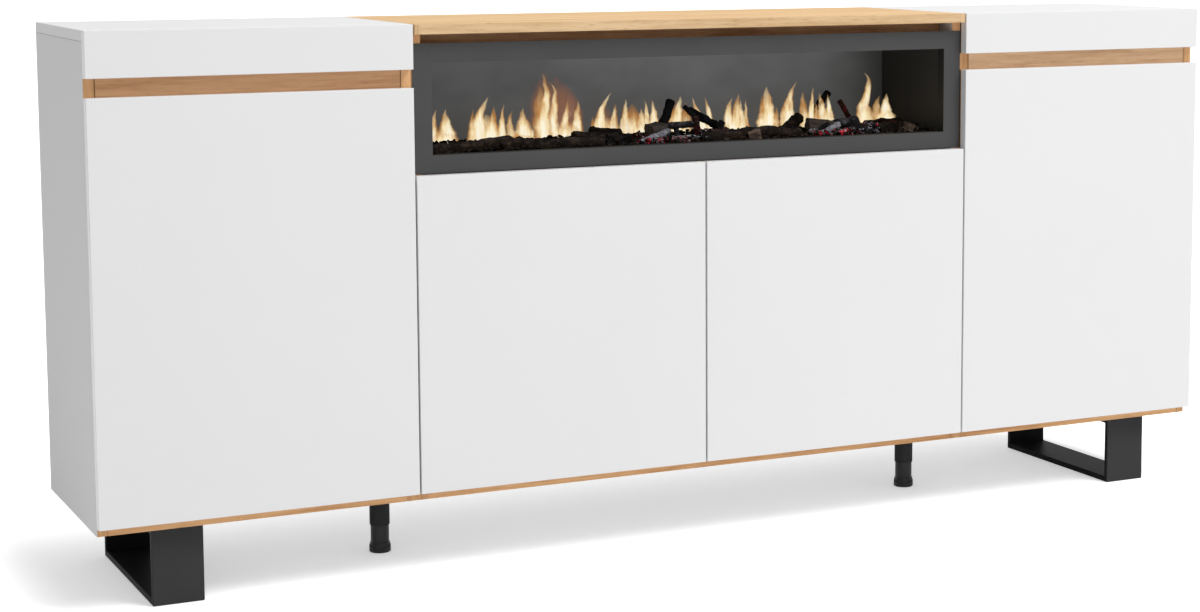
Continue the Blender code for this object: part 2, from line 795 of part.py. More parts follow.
def flame_rotor():
    """The foil-bladed spindle behind the screen, between the bearing and the motor."""
    bearing = -CHAMBER_HALF + BEARING_THICKNESS
    motor = CHAMBER_HALF - FIT - MOTOR_LENGTH
    rotor = rod(
        "flame_rotor",
        (bearing - ROTOR_SEAT_DEPTH, ROTOR_Y, ROTOR_Z),
        (motor + ROTOR_SEAT_DEPTH, ROTOR_Y, ROTOR_Z),
        ROTOR_SHAFT_RADIUS,
        ROUND_STEPS,
        FOIL,
    )
    free = motor - bearing
    pitch = free / (ROTOR_BLADES + 1)
    blade_half = Vector((ROTOR_BLADE_LENGTH_SHARE * pitch, ROTOR_BLADE_SHEET, ROTOR_BLADE_WIDTH)) / 2
    for index in range(ROTOR_BLADES):
        centre = Vector((bearing + (index + 1) * pitch, ROTOR_Y, ROTOR_Z))
        blade = block(f"rotor_blade_{index}", centre - blade_half, centre + blade_half)
        blade.rotation_euler = (index * ROTOR_TWIST, 0, 0)
        carve(rotor, blade, "UNION")
    carry(axis_empty("flame_rotor_axis", (0, ROTOR_Y, ROTOR_Z)), rotor)
    half = MOTOR_SIDE / 2
    body = block(
        "rotor_motor",
        (motor, ROTOR_Y - half, ROTOR_Z - half),
        (motor + MOTOR_LENGTH, ROTOR_Y + half, ROTOR_Z + half),
        GREY_PLASTIC,
        rounding=LEG_ROUND,
    )
    socket = rod(
        "rotor_motor_socket",
        (motor - OVERRUN, ROTOR_Y, ROTOR_Z),
        (motor + ROTOR_SEAT_DEPTH + ROTOR_END_GAP, ROTOR_Y, ROTOR_Z),
        ROTOR_BORE_RADIUS,
        ROUND_STEPS,
    )
    carve(body, socket)


def led_bar():
    """The strip of lamps on the housing's floor, under the rotor."""
    half, wide = CHAMBER_HALF - LED_BAR_END_GAP, LED_BAR_WIDTH / 2
    low, high = CHAMBER_FLOOR + FIT, CHAMBER_FLOOR + FIT + LED_BAR_HEIGHT
    bar = block(
        "led_bar",
        (-half, ROTOR_Y - wide, low),
        (half, ROTOR_Y + wide, high),
        LED_BOARD,
        rounding=0,
    )
    pitch = 2 * half / LED_COUNT
    reach = Vector((LED_SIDE / 2, LED_SIDE / 2, LED_PROUD))
    for index in range(LED_COUNT):
        centre = Vector((-half + (index + 0.5) * pitch, ROTOR_Y, high))
        carve(bar, block(f"led_{index}", centre - reach, centre + reach), "UNION")


def mains_inlet():
    """The appliance inlet on the back of the housing, in the window of the back panel."""
    near = HOUSING_BACK + FIT
    half = Vector((INLET_WIDTH / 2, 0, INLET_TALL / 2))
    start, end = Vector((INLET_X, near, INLET_Z)), Vector((INLET_X, near + INLET_DEPTH, INLET_Z))
    inlet = block(
        "mains_inlet",
        start - half,
        end + half,
        BLACK_PLASTIC,
        rounding=0,
    )
    ear = Vector((INLET_FLANGE_WIDTH / 2, 0, INLET_TALL / 2))
    flange = block("inlet_flange", start - ear, start + ear + Vector((0, INLET_FLANGE, 0)))
    wall = Vector((INLET_WALL, 0, INLET_WALL))
    floor = end - Vector((0, INLET_CAVITY, 0))
    cavity = block(
        "inlet_cavity",
        floor - half + wall,
        end + half - wall + Vector((0, OVERRUN, 0)),
    )
    carve(carve(inlet, flange, "UNION"), cavity)
    pin_half = Vector((PIN_SHEET / 2, 0, PIN_WIDTH / 2))
    for index, (side, lift) in enumerate(((-1, -1), (0, 1), (1, -1))):
        foot = floor + Vector((side * PIN_SPREAD, -INLET_WALL / 2, lift * PIN_DROP))
        tip = foot + Vector((0, INLET_WALL / 2 + PIN_LENGTH, 0))
        carve(inlet, block(f"inlet_pin_{index}", foot - pin_half, tip + pin_half), "UNION")


def main():
    """Makes every piece of the sideboard."""
    side_cabinet("left", -1)
    side_cabinet("right", 1)
    push_latches(centre_cabinet())
    doors()
    for word, side in (("left", -1), ("right", 1)):
        sled_leg(word, side)
        levelling_foot(word, side * CENTRE_HALF - BOARD / 2)
    fire_housing()
    fire_bezel()
    flame_screen()
    ember_bed()
    flame_rotor()
    led_bar()
    mains_inlet()


main()
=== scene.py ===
"""Electric fireplace sideboard: finishes, ember bed, flames, fittings and stage round the fixed model.

Metres, +Z up. X runs along the front from left to right and the fronts face -Y. Each button of the
panel makes one group of pieces, and main() presses them in order.
"""

import math
from functools import partial

import bmesh
import bpy
from bpy.props import FloatProperty, FloatVectorProperty, IntProperty, PointerProperty
from mathutils import Matrix, Vector, noise


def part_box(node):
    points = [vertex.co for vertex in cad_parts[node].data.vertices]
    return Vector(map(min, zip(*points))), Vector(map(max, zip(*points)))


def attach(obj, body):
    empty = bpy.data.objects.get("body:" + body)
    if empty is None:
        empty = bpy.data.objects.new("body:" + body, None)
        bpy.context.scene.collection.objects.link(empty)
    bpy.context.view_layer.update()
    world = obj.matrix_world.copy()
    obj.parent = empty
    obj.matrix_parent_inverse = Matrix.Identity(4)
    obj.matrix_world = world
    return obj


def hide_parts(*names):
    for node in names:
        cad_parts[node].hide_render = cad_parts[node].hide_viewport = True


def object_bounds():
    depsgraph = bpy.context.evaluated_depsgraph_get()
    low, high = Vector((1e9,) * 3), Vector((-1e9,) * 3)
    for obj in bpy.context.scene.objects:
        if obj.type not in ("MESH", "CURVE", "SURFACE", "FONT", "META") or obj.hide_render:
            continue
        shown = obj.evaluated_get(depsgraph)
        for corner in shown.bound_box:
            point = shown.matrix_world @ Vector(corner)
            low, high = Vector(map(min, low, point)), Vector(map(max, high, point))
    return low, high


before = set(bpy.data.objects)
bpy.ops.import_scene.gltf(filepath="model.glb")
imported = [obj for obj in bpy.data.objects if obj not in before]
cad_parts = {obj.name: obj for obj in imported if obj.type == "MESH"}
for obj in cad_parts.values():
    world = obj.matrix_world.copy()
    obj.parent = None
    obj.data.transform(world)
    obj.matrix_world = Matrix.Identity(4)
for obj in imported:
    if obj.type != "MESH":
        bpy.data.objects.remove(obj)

bl_info = {
    "name": "Electric Fireplace Sideboard",
    "version": (1, 0, 0),
    "blender": (4, 5, 0),
    "location": "View3D > Sidebar > Sideboard",
    "description": "Finishes, ember bed, flames and fittings of an electric fireplace sideboard",
    "category": "Object",
}

# The model's box, and the places that the looks are worked out from
CAD_LOW, CAD_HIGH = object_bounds()
BODY = "carcass"
DOORS = ("left_door", "right_door", "centre_left_door", "centre_right_door")
CARCASS_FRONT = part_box("left_outer_side")[0].y
TOP_LOW, TOP_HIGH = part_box("centre_top")
GROOVE_LOW, GROOVE_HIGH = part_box("right_door")[1].z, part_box("right_fascia")[0].z
FRONTS_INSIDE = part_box("right_fascia")[0].x
BED_LOW, BED_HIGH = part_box("ember_bed")
SCREEN_LOW, SCREEN_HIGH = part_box("flame_screen")
BEZEL_LOW, BEZEL_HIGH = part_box("fire_bezel")
UPRIGHT_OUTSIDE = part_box("centre_right_side")[1].x

# Lengths of the looks: how near its face a point counts as on it, the width of a joint beside the
# top's end blocks, of one at a rail's ends and of the white arris, and how far behind a front face the
# painted shade starts
MILLIMETRE = 0.001
SKIN = 0.1 * MILLIMETRE
BLOCK_JOINT = 0.3 * MILLIMETRE
RAIL_JOINT = 1.4 * MILLIMETRE
ARRIS = 1.2 * MILLIMETRE
PAINTED_SHADE_EDGE = 1.25 * MILLIMETRE
NAIL_RIM, NAIL_FLAT = 2.2 * MILLIMETRE, 1.7 * MILLIMETRE

# Tones of the looks
EVEN = (1, 1, 1)
RAIL_STREAK = (0.68, 0.60, 0.53)
NAIL_GREY = (0.34, 0.34, 0.34)
WOOD_ASH = (0.40, 0.39, 0.42)
HOTTEST_FLAME = (1.0, 0.94, 0.76)
FLOOR_TONES = ((0.3, (0.90, 0.90, 0.90)), (0.7, (0.91, 0.91, 0.91)))
WHITE_LIGHT = (1, 1, 1, 1)

# Ember bed: its slab, and the opening that its tables of shares are scaled by
SLAB_HEIGHT = 0.0255
SLAB_TOP = BED_LOW.z + SLAB_HEIGHT
OPENING_HALF = 0.467
OPENING_HEIGHT = 0.144
BED_DEPTH = BED_HIGH.y - BED_LOW.y

# Fittings: how deep a head's foot lies in its plate, the air under a cam or pin, hinge screws from
# the middle of a cup and from the carcass's front, cams from a board's sides, front and back, and
# shelf pins from a shelf's front and back
HEAD_SUNK = 0.0007
FITTING_AIR = 0.0001
CUP_SCREW = 0.020
ARM_SCREWS = (0.032, 0.050)
CAM_SIDE, CAM_FRONT, CAM_BACK = 0.052, 0.060, 0.050
PIN_INSET = 0.040

# Levelling feet: the middle of the lowest row of ribs, and from row to row as a share of a rib
FIRST_RIB = 0.0042
RIB_ROWS = 2
RIB_PITCH = 1.35

# Kinds of settings
TINT = partial(FloatVectorProperty, subtype="COLOR", size=3, min=0.0, max=1.0)
LENGTH = partial(FloatProperty, unit="LENGTH", precision=5)
SHARE = partial(FloatProperty, min=0.0, max=1.0)
STRENGTH = partial(FloatProperty, min=0.0, max=10.0)
NUMBER = partial(IntProperty, min=1)
ANGLE = partial(FloatProperty, subtype="ANGLE")
PLACE = partial(FloatVectorProperty, unit="LENGTH")
FOCAL = partial(FloatProperty, unit="CAMERA")
WATTS = partial(FloatProperty, unit="POWER", min=0.0)


def label(key):
    """A key in the words of the panel and of the sockets."""
    return key.replace("_", " ").title()


def settings_group(name, note, **fields):
    """A PropertyGroup class from rows of kind, description and default."""
    made = {
        key: kind(name=label(key), description=words, default=value)
        for key, (kind, words, value) in fields.items()
    }
    return type(name, (bpy.types.PropertyGroup,), {"__doc__": note, "__annotations__": made})


BoardSettings = settings_group(
    "SIDEBOARD_PG_boards",
    "Boards and fronts.",
    front_white=(TINT, "Satin faced board of the fronts", (0.763, 0.763, 0.767)),
    # Painted shade: the cabinets' white is set darker than the tops' white, though both are one
    # melamine, for the sides in shade; the bottoms and backs take it too
    board_white=(TINT, "Melamine of the cabinets", (0.765, 0.765, 0.77)),
    top_white=(TINT, "Melamine of the top boards and shelves", (0.80, 0.80, 0.805)),
    light_oak=(TINT, "Pale bands of the oak top", (0.86, 0.61, 0.36)),
    dark_oak=(TINT, "Darker streaks of the oak top", (0.68, 0.44, 0.23)),
    oak_pore=(TINT, "Short dark pores along the grain", (0.36, 0.20, 0.09)),
    edge_oak=(TINT, "Pale bands of the oak edging", (0.83, 0.487, 0.245)),
    edge_oak_streak=(TINT, "Darker streaks of the oak edging", (0.566, 0.290, 0.130)),
    # The two grip rails are one oak: the left is painted darker and the right lighter, as painted shade
    # and painted light
    left_rail_oak=(TINT, "Pale bands of the left grip rail", (0.655, 0.378, 0.202)),
    right_rail_oak=(TINT, "Pale bands of the right grip rail", (0.785, 0.515, 0.312)),
    slot_oak=(TINT, "Oak rail in the slot under the top", (0.85, 0.515, 0.292)),
    slot_oak_streak=(TINT, "Darker streaks of that rail", (0.53, 0.265, 0.132)),
    # Painted shade: a near-black tone laid on the oak edging in the narrow gaps beside the bezel, where
    # the fronts shade it
    gap=(TINT, "Dark strip in the narrow gaps beside the bezel", (0.012, 0.009, 0.007)),
    # Painted shade: the share that darkens the oak top's front edge below its lit top
    top_edge=(SHARE, "Tone of the oak top's front edge", 0.84),
    upright_tone=(SHARE, "Tone of the edging on the sides", 0.90),
    end_block=(LENGTH, "Upright block at each end of the oak top's front edge", 0.0088),
    edging=(LENGTH, "Thickness of the oak edging on the boards", 0.001),
    satin=(SHARE, "Roughness of the fronts", 0.38),
    front_gloss=(SHARE, "Specular level of the fronts", 0.30),
    board_gloss=(SHARE, "Specular level of the melamine boards", 0.01),
    nail_inset=(LENGTH, "Row of nails from the edge of a back panel", 0.007),
    nail_pitch=(LENGTH, "From nail to nail", 0.11),
)

SteelSettings = settings_group(
    "SIDEBOARD_PG_steel",
    "Steelwork.",
    black_coat=(TINT, "Powder coat of the feet's sleeves", (0.037, 0.037, 0.038)),
    leg_front=(TINT, "Powder coat on the front faces of the legs", (0.046, 0.046, 0.047)),
    # Painted shade: a near-black tone on the legs' faces behind their front, for the shade on them
    leg_inside=(TINT, "Powder coat behind the front faces", (0.0095, 0.0095, 0.010)),
    anthracite=(TINT, "Powder coat of the bezel", (0.056, 0.056, 0.057)),
    # Painted shade: a darker tone on the bezel's faces behind its front, for the shade inside the
    # opening
    stove_black=(TINT, "Heat-proof coat inside the bezel", (0.022, 0.021, 0.019)),
    housing_grey=(TINT, "Dark coat inside the fire's housing", (0.066, 0.062, 0.056)),
    foot_plastic=(TINT, "Plastic of the feet's adjusters", (0.013, 0.013, 0.014)),
    rib_count=(NUMBER, "Ribs round the base of a levelling foot", 44),
    rib_height=(LENGTH, "Height of one row of ribs", 0.0042),
    rib_width=(LENGTH, "Width of a rib", 0.0011),
    rib_inset=(LENGTH, "Middle of a rib from the rim of the base", 0.0009),
)

FireSettings = settings_group(
    "SIDEBOARD_PG_fire",
    "Fire.",
    flame_core=(TINT, "Pale body of a flame", (0.97, 0.79, 0.46)),
    flame_edge=(TINT, "Amber rim of a flame", (0.50, 0.21, 0.038)),
    flame_cover=(SHARE, "How much a flame hides of what is behind it", 0.80),
    flame_power=(STRENGTH, "Strength of the light of the flames and the haze", 1.0),
    flame_thickness=(SHARE, "Depth of a flame for its width", 0.22),
    haze_core=(TINT, "Body of the faint haze behind the flames", (0.26, 0.13, 0.082)),
    haze_edge=(TINT, "Rim of the haze", (0.20, 0.098, 0.064)),
    haze_cover=(SHARE, "How much the haze hides of what is behind it", 0.85),
    haze_thickness=(SHARE, "Depth of the haze for its width", 0.06),
    haze_gap=(LENGTH, "From a flame back to the haze behind it", 0.012),
    ember_glow=(TINT, "Red light of the embers", (0.82, 0.012, 0.040)),
    ember_power=(STRENGTH, "Strength of the embers' light", 0.7),
    screen=(TINT, "Smoked screen behind the flames", (0.040, 0.040, 0.041)),
    screen_glow=(SHARE, "Light through the screen", 0.086),
)

FittingSettings = settings_group(
    "SIDEBOARD_PG_fittings",
    "Fittings.",
    screw_radius=(LENGTH, "Head of a hinge screw", 0.0038),
    screw_height=(LENGTH, "How far a head stands out", 0.0014),
    cam_radius=(LENGTH, "Cam lock in a board", 0.0075),
    pin_radius=(LENGTH, "Shelf pin", 0.0025),
    pin_length=(LENGTH, "How far a shelf pin stands out", 0.008),
)

StageSettings = settings_group(
    "SIDEBOARD_PG_stage",
    "Floor, light and camera.",
    lens=(FOCAL, "Focal length", 71.09),
    shift_x=(FloatProperty, "Sideways shift", -0.12),
    shift_y=(FloatProperty, "Vertical shift", -0.095),
    yaw=(ANGLE, "Turn towards +X", 0.47598),
    pitch=(ANGLE, "Tilt down", 0.11193),
    eye=(PLACE, "Camera place", (-1.7198, -3.6510, 1.0206)),
    floor_half=(LENGTH, "Half the floor's width", 40.0),
    floor_drop=(LENGTH, "Air between the feet and the floor", 0.0002),
    floor_lift=(SHARE, "White that the camera sees added to the shadow", 0.40),
    floor_reach=(LENGTH, "How far from the cabinet the floor turns white", 0.45),
    floor_ends=(STRENGTH, "How much sooner it turns white beside the ends", 2.4),
    sky=(STRENGTH, "Strength of the even light", 0.46),
    lamp_power=(WATTS, "Power of the main lamp", 610.0),
    lamp_size=(LENGTH, "Side of the main lamp", 4.0),
    lamp_place=(PLACE, "Place of the main lamp", (3.2, -4.4, 7.6)),
)


def scaled(values, share):
    """Every number of a colour or a stretch times a share."""
    return tuple(share * value for value in values)


def between(first, second, share):
    """A colour that is a share of the way from the first to the second."""
    return tuple((1.0 - share) * a + share * b for a, b in zip(first, second))


def rgba(colour):
    """A colour with full opacity."""
    return (*colour[:3], 1.0)


def placed(name, data):
    """A new object in the scene."""
    made = bpy.data.objects.new(name, data)
    bpy.context.scene.collection.objects.link(made)
    return made


def worked(operation, turned=False):
    """A method of Field that adds a maths node, with its values the other way round if turned."""

    def method(*values):
        return values[0].tree.calc(operation, *(values[::-1] if turned else values))

    return method


class Field:
    """A node's output that sums are written with."""

    def __init__(self, tree, socket):
        self.tree = tree
        self.socket = socket

    __add__ = __radd__ = worked("ADD")
    __sub__ = worked("SUBTRACT")
    __rsub__ = worked("SUBTRACT", turned=True)
    __mul__ = __rmul__ = worked("MULTIPLY")
    __truediv__ = worked("DIVIDE")
    __gt__ = worked("GREATER_THAN")
    __lt__ = worked("LESS_THAN")
    __abs__ = worked("ABSOLUTE")


class Tree:
    """Adds nodes to a node tree and joins them."""

    def __init__(self, tree):
        self.tree = tree

    def add(self, kind, values=None, **choices):
        """A node with its options, and its inputs linked to fields or set to values."""
        node = self.tree.nodes.new(kind)
        for name, choice in choices.items():
            setattr(node, name, choice)
        for name, value in (values or {}).items():
            self.give(node.inputs[name], value)
        return node

    def make(self, kind, values=None, out=0, **choices):
        """One output of a new node."""
        return Field(self, self.add(kind, values, **choices).outputs[out])

    def give(self, socket, value):
        """Links an input to a field, or sets its value."""
        if isinstance(value, Field):
            self.tree.links.new(value.socket, socket)
        else:
            socket.default_value = value

    def calc(self, operation, *values, clamp=False):
        """A maths node."""
        given = dict(enumerate(values))
        return self.make("ShaderNodeMath", given, operation=operation, use_clamp=clamp)

    def distance(self, first, second):
        """How far off a point is, from how far it is along two axes."""
        return self.calc("SQRT", first * first + second * second)

    def vector(self, operation, *values):
        """A vector maths node."""
        node = self.add("ShaderNodeVectorMath", operation=operation)
        for socket, value in zip([socket for socket in node.inputs if socket.enabled], values):
            self.give(socket, value)
        return Field(self, node.outputs[0])

    def split(self, vector):
        """The X, Y and Z of a vector."""
        node = self.add("ShaderNodeSeparateXYZ", {0: vector})
        return [Field(self, socket) for socket in node.outputs]

    def join(self, *numbers):
        """A vector from three numbers."""
        return self.make("ShaderNodeCombineXYZ", dict(enumerate(numbers)))

    def spread(self, value, low, high, to_low=0.0, to_high=1.0):
        """A value mapped smoothly from one range to another."""
        values = {"Value": value, "From Min": low, "From Max": high, "To Min": to_low, "To Max": to_high}
        return self.make("ShaderNodeMapRange", values, interpolation_type="SMOOTHSTEP")

    def background_rays(self):
        """1 for the rays that see the white background: the camera's, and what gloss and glass show."""
        rays = self.add("ShaderNodeLightPath").outputs
        camera, gloss, glass = (
            Field(self, rays[f"Is {kind} Ray"]) for kind in ("Camera", "Glossy", "Transmission")
        )
        return self.calc("ADD", self.calc("ADD", camera, gloss, clamp=True), glass, clamp=True)


class Finish(Tree):
    """A material and the node tree that is being made for it."""

    def __init__(self, name):
        self.material = bpy.data.materials.new(name)
        self.material.use_nodes = True
        super().__init__(self.material.node_tree)
        self.tree.nodes.clear()
        self.place = self.make("ShaderNodeTexCoord", out="Object")

    def stretched(self, stretch):
        """The object's own coordinates, stretched along its axes."""
        return self.make("ShaderNodeMapping", {"Vector": self.place, "Scale": stretch})

    def grain(self, stretch, scale, detail=4.0, rough=0.55, distort=0.0):
        """Noise on stretched coordinates."""
        values = {"Scale": scale, "Detail": detail, "Roughness": rough, "Distortion": distort}
        return self.make("ShaderNodeTexNoise", {"Vector": self.stretched(stretch), **values})

    def cells(self, stretch, scale):
        """Distance from the edges of cells on stretched coordinates."""
        values = {"Vector": self.stretched(stretch), "Scale": scale}
        return self.make("ShaderNodeTexVoronoi", values, out="Distance", feature="DISTANCE_TO_EDGE")

    def blend(self, share, first, second, kind="MIX"):
        """One colour blended into another."""
        values = {"Factor": share, "A": first, "B": second}
        return self.make("ShaderNodeMix", values, out="Result", data_type="RGBA", blend_type=kind)

    def ramp(self, value, *stops):
        """A colour ramp from (place, colour) stops."""
        node = self.add("ShaderNodeValToRGB", {"Fac": value})
        marks = node.color_ramp.elements
        while len(marks) < len(stops):
            marks.new(0.5)
        for mark, (place, colour) in zip(marks, stops):
            mark.position = place
            mark.color = rgba(colour)
        return Field(self, node.outputs[0])

    def mottle(self, value, colour, lowest, highest=1.0):
        """A colour whose tone follows a value."""
        return self.ramp(value, (0.3, scaled(colour, lowest)), (0.7, scaled(colour, highest)))

    def bump(self, height, millimetres, strength):
        """A bumped normal."""
        values = {"Height": height, "Distance": millimetres * MILLIMETRE, "Strength": strength}
        return self.make("ShaderNodeBump", values)

    def shade(self, colour, roughness, normal=None, gloss=0.5, **more):
        """Ends the tree in a Principled shader."""
        values = {"Base Color": colour, "Roughness": roughness, "Specular IOR Level": gloss}
        values.update({label(key): value for key, value in more.items()})
        if normal is not None:
            values["Normal"] = normal
        return self.end(self.make("ShaderNodeBsdfPrincipled", values))

    def end(self, surface):
        """Ends the tree in a shader and gives back the material."""
        self.add("ShaderNodeOutputMaterial", {"Surface": surface})
        return self.material


def paint(material, *names):
    """Gives CAD nodes a material."""
    for name in names:
        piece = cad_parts[name]
        if not piece.material_slots:
            piece.data.materials.append(material)
        for slot in piece.material_slots:
            slot.material = material


# Coats: the fine grain and the slow clouds as stretch, scale, detail and roughness of their noise,
# the lowest and highest tone, the roughness below and above its mean, and the relief's depth in
# millimetres and strength
BRUSH_LINES = ((1, 1, 14), 420.0, 5.0, 0.7)
POWDER_LOOK = ((EVEN, 6.0, 3.0), (0.93, 1.05), (-0.05, 0.06), (0.04, 0.6))
COATS = {
    "foil": ((EVEN, 900.0, 2.0), (EVEN, 3.0, 2.0), (0.985, 1.0), (-0.04, 0.05), (0.03, 0.5)),
    "powder": ((EVEN, 420.0, 3.0), *POWDER_LOOK),
    "coarse powder": ((EVEN, 300.0, 3.0), *POWDER_LOOK),
    "metal": (BRUSH_LINES, BRUSH_LINES, (0.88, 1.0), (-0.06, 0.08), (0.02, 0.4)),
    "plastic": ((EVEN, 1100.0, 2.0), (EVEN, 25.0, 2.0), (0.94, 1.04), (-0.05, 0.08), (0.03, 0.6)),
}


def coated(name, coat, colour, roughness, behind=None, **shader):
    """A material with one of the coats, which may take another colour behind its front face."""
    grain, clouds, tones, uneven, relief = COATS[coat]
    finish = Finish(name)
    texture = finish.grain(*grain)
    body = finish.mottle(finish.grain(*clouds), colour, *tones)
    # Painted shade: faces more than a hair behind the front face take the darker colour
    if behind:
        face, inside = behind
        body = finish.blend(finish.split(finish.place)[1] > face + PAINTED_SHADE_EDGE, body, rgba(inside))
    rough = finish.spread(texture, 0.3, 0.7, roughness + uneven[0], roughness + uneven[1])
    return finish.shade(body, rough, finish.bump(texture, *relief), **shader)


def oak_colour(finish, light, dark, pore, along):
    """Colour and height of an oak decor whose grain runs along X, or along Z on standing edges."""
    slow, fast = 0.9, 16.0
    stretch = (slow, fast, fast) if along == "X" else (fast, fast, slow)
    figure = finish.grain(stretch, 2.6, 5.0, 0.60, 0.8)
    streak = finish.grain(scaled(stretch, 2.4), 5.0, 6.0, 0.75, 0.2)
    pores = finish.grain(scaled(stretch, 5.0), 9.0, 2.0, 0.5)
    mixed = figure * 0.5 + streak * 0.5
    base = finish.ramp(mixed, (0.40, dark), (0.49, between(light, dark, 0.4)), (0.57, light))
    specks = finish.spread(pores, 0.60, 0.74, 0.0, 0.45)
    return finish.blend(specks, base, rgba(pore)), mixed - specks * 0.5


def oak_shade(finish, colour, height, relief, gloss):
    """Ends an oak finish, whose pores are rougher than the wood between them."""
    rough = finish.spread(height, 0.3, 0.6, 0.60, 0.50)
    return finish.shade(colour, rough, finish.bump(relief, 0.08, 0.7), gloss=gloss)


def oak_rail(name, node, light, dark, pore):
    """Oak decor on every face of a rail, with a fine dark joint at its ends."""
    finish = Finish(name)
    colour, height = oak_colour(finish, light, dark, pore, "X")
    x, _, _ = finish.split(finish.place)
    low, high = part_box(node)
    joint = finish.calc("MINIMUM", abs(x - low.x), abs(x - high.x)) < RAIL_JOINT
    colour = finish.blend(joint * 0.9, colour, rgba(scaled(pore, 0.6)))
    return oak_shade(finish, colour, height, height, 0.1)


def oak_top(settings):
    """Oak top whose front edge ends in upright blocks with a fine joint beside them."""
    finish = Finish("oak_top")
    tones = (settings.light_oak, settings.dark_oak, settings.oak_pore)
    long_colour, height = oak_colour(finish, *tones, "X")
    end_colour, _ = oak_colour(finish, *tones, "Z")
    x, y, _ = finish.split(finish.place)
    front = y < TOP_LOW.y + MILLIMETRE
    block_end = TOP_HIGH.x - settings.end_block
    joint = front * (abs(abs(x) - block_end) < BLOCK_JOINT)
    colour = finish.blend(front * (abs(x) > block_end), long_colour, end_colour)
    # Painted shade: the front edge is darkened below the lit top
    colour = finish.vector("SCALE", colour, 1.0 - front * (1.0 - settings.top_edge))
    colour = finish.blend(joint * 0.35, colour, rgba(settings.oak_pore))
    return oak_shade(finish, colour, height, height - joint, 0.0)


def edged_board(name, settings, along):
    """White melamine with an oak edging on the face that looks forward."""
    finish = Finish(name)
    tone = settings.upright_tone if along == "Z" else 1.0
    light, dark = scaled(settings.edge_oak, tone), scaled(settings.edge_oak_streak, tone)
    oak, height = oak_colour(finish, light, dark, settings.oak_pore, along)
    x, y, z = finish.split(finish.place)
    outside = abs(x) > CAD_HIGH.x - SKIN
    front = y < settings.edging - outside * (0.9 * settings.edging) + CARCASS_FRONT
    speckle = finish.grain(EVEN, 700.0, 2.0)
    # The board white is set darker than the tops' white: painted shade
    white = finish.mottle(speckle, settings.board_white, 0.97)
    colour = finish.blend(front, white, oak)
    if along == "Z":
        # Painted shade: beside the bezel, at the height of the doors and the fascia, the oak edging
        # turns near black where the fronts shade the narrow gaps; the edging in the slot stays oak
        middle, half = (GROOVE_LOW + GROOVE_HIGH) / 2, (GROOVE_HIGH - GROOVE_LOW) / 2
        beside_front = 1.0 - finish.calc("COMPARE", z, middle, half)
        gap_shade_mask = (z > BEZEL_LOW.z) * (abs(x) < FRONTS_INSIDE + 3 * SKIN) * beside_front
        in_slot = (z > BEZEL_HIGH.z) * (abs(x) < UPRIGHT_OUTSIDE + SKIN)
        colour = finish.blend(gap_shade_mask * (1.0 - in_slot) * front * 0.9, colour, rgba(settings.gap))
        colour = finish.blend((abs(x) > CAD_HIGH.x - ARRIS) * beside_front, colour, white)
    relief = finish.bump(speckle * 0.4 + height * front, 0.05, 0.6)
    return finish.shade(colour, front * 0.12 + 0.42, relief, gloss=settings.board_gloss)


def back_board(settings, node):
    """Thin white hardboard with faint fibres, held by a row of small nails along its edges."""
    finish = Finish(f"{node}_board")
    low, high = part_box(node)
    middle, half = (low + high) / 2, (high - low) / 2
    x, _, z = finish.split(finish.place)
    across, upwards = x - middle.x, z - middle.z
    nails = []
    for value, reach, other in ((across, half.x, upwards), (upwards, half.z, across)):
        from_row = abs(value) - (reach - settings.nail_inset)
        from_nail = finish.calc("PINGPONG", other, settings.nail_pitch / 2)
        nails.append(finish.distance(from_row, from_nail))
    nail = finish.spread(finish.calc("MINIMUM", *nails), NAIL_RIM, NAIL_FLAT)
    fibre = finish.grain((1, 1, 3), 160.0, 4.0, 0.7)
    # The board white is the darker copy of the tops' white: painted shade
    colour = finish.blend(nail, finish.mottle(fibre, settings.board_white, 0.92), rgba(NAIL_GREY))
    return finish.shade(colour, 0.58, finish.bump(fibre * 0.2 - nail, 0.25, 0.7))


# Light through the smoked screen from its left end to its right one
SCREEN_GLOW = (
    (0.0, (0.72, 0.72, 0.72)),
    (0.60, (1.0, 1.0, 1.0)),
    (0.86, (0.84, 0.84, 0.84)),
    (0.93, (0.60, 0.60, 0.59)),
    (0.97, (0.36, 0.36, 0.35)),
    (1.0, (0.22, 0.22, 0.21)),
)


def smoked_screen(settings):
    """Smoked acrylic with a soft grey light behind it that dies away at the right end."""
    finish = Finish("smoked_screen")
    x, _, z = finish.split(finish.place)
    glow = finish.ramp((x - SCREEN_LOW.x) / (SCREEN_HIGH.x - SCREEN_LOW.x), *SCREEN_GLOW)
    lift = finish.spread(z, SCREEN_LOW.z, SCREEN_HIGH.z, 0.80, 1.08)
    cloud = finish.spread(finish.grain((1, 1, 1.6), 9.0, 2.0), 0.25, 0.75, 0.86, 1.12)
    # Painted shade: the screen's own colour follows the light ramp too, darker towards its right end
    colour = finish.blend(1.0, glow, rgba(settings.screen), "MULTIPLY")
    light = {"emission_color": glow, "emission_strength": lift * cloud * settings.screen_glow}
    return finish.shade(colour, 0.55, gloss=0.12, **light)


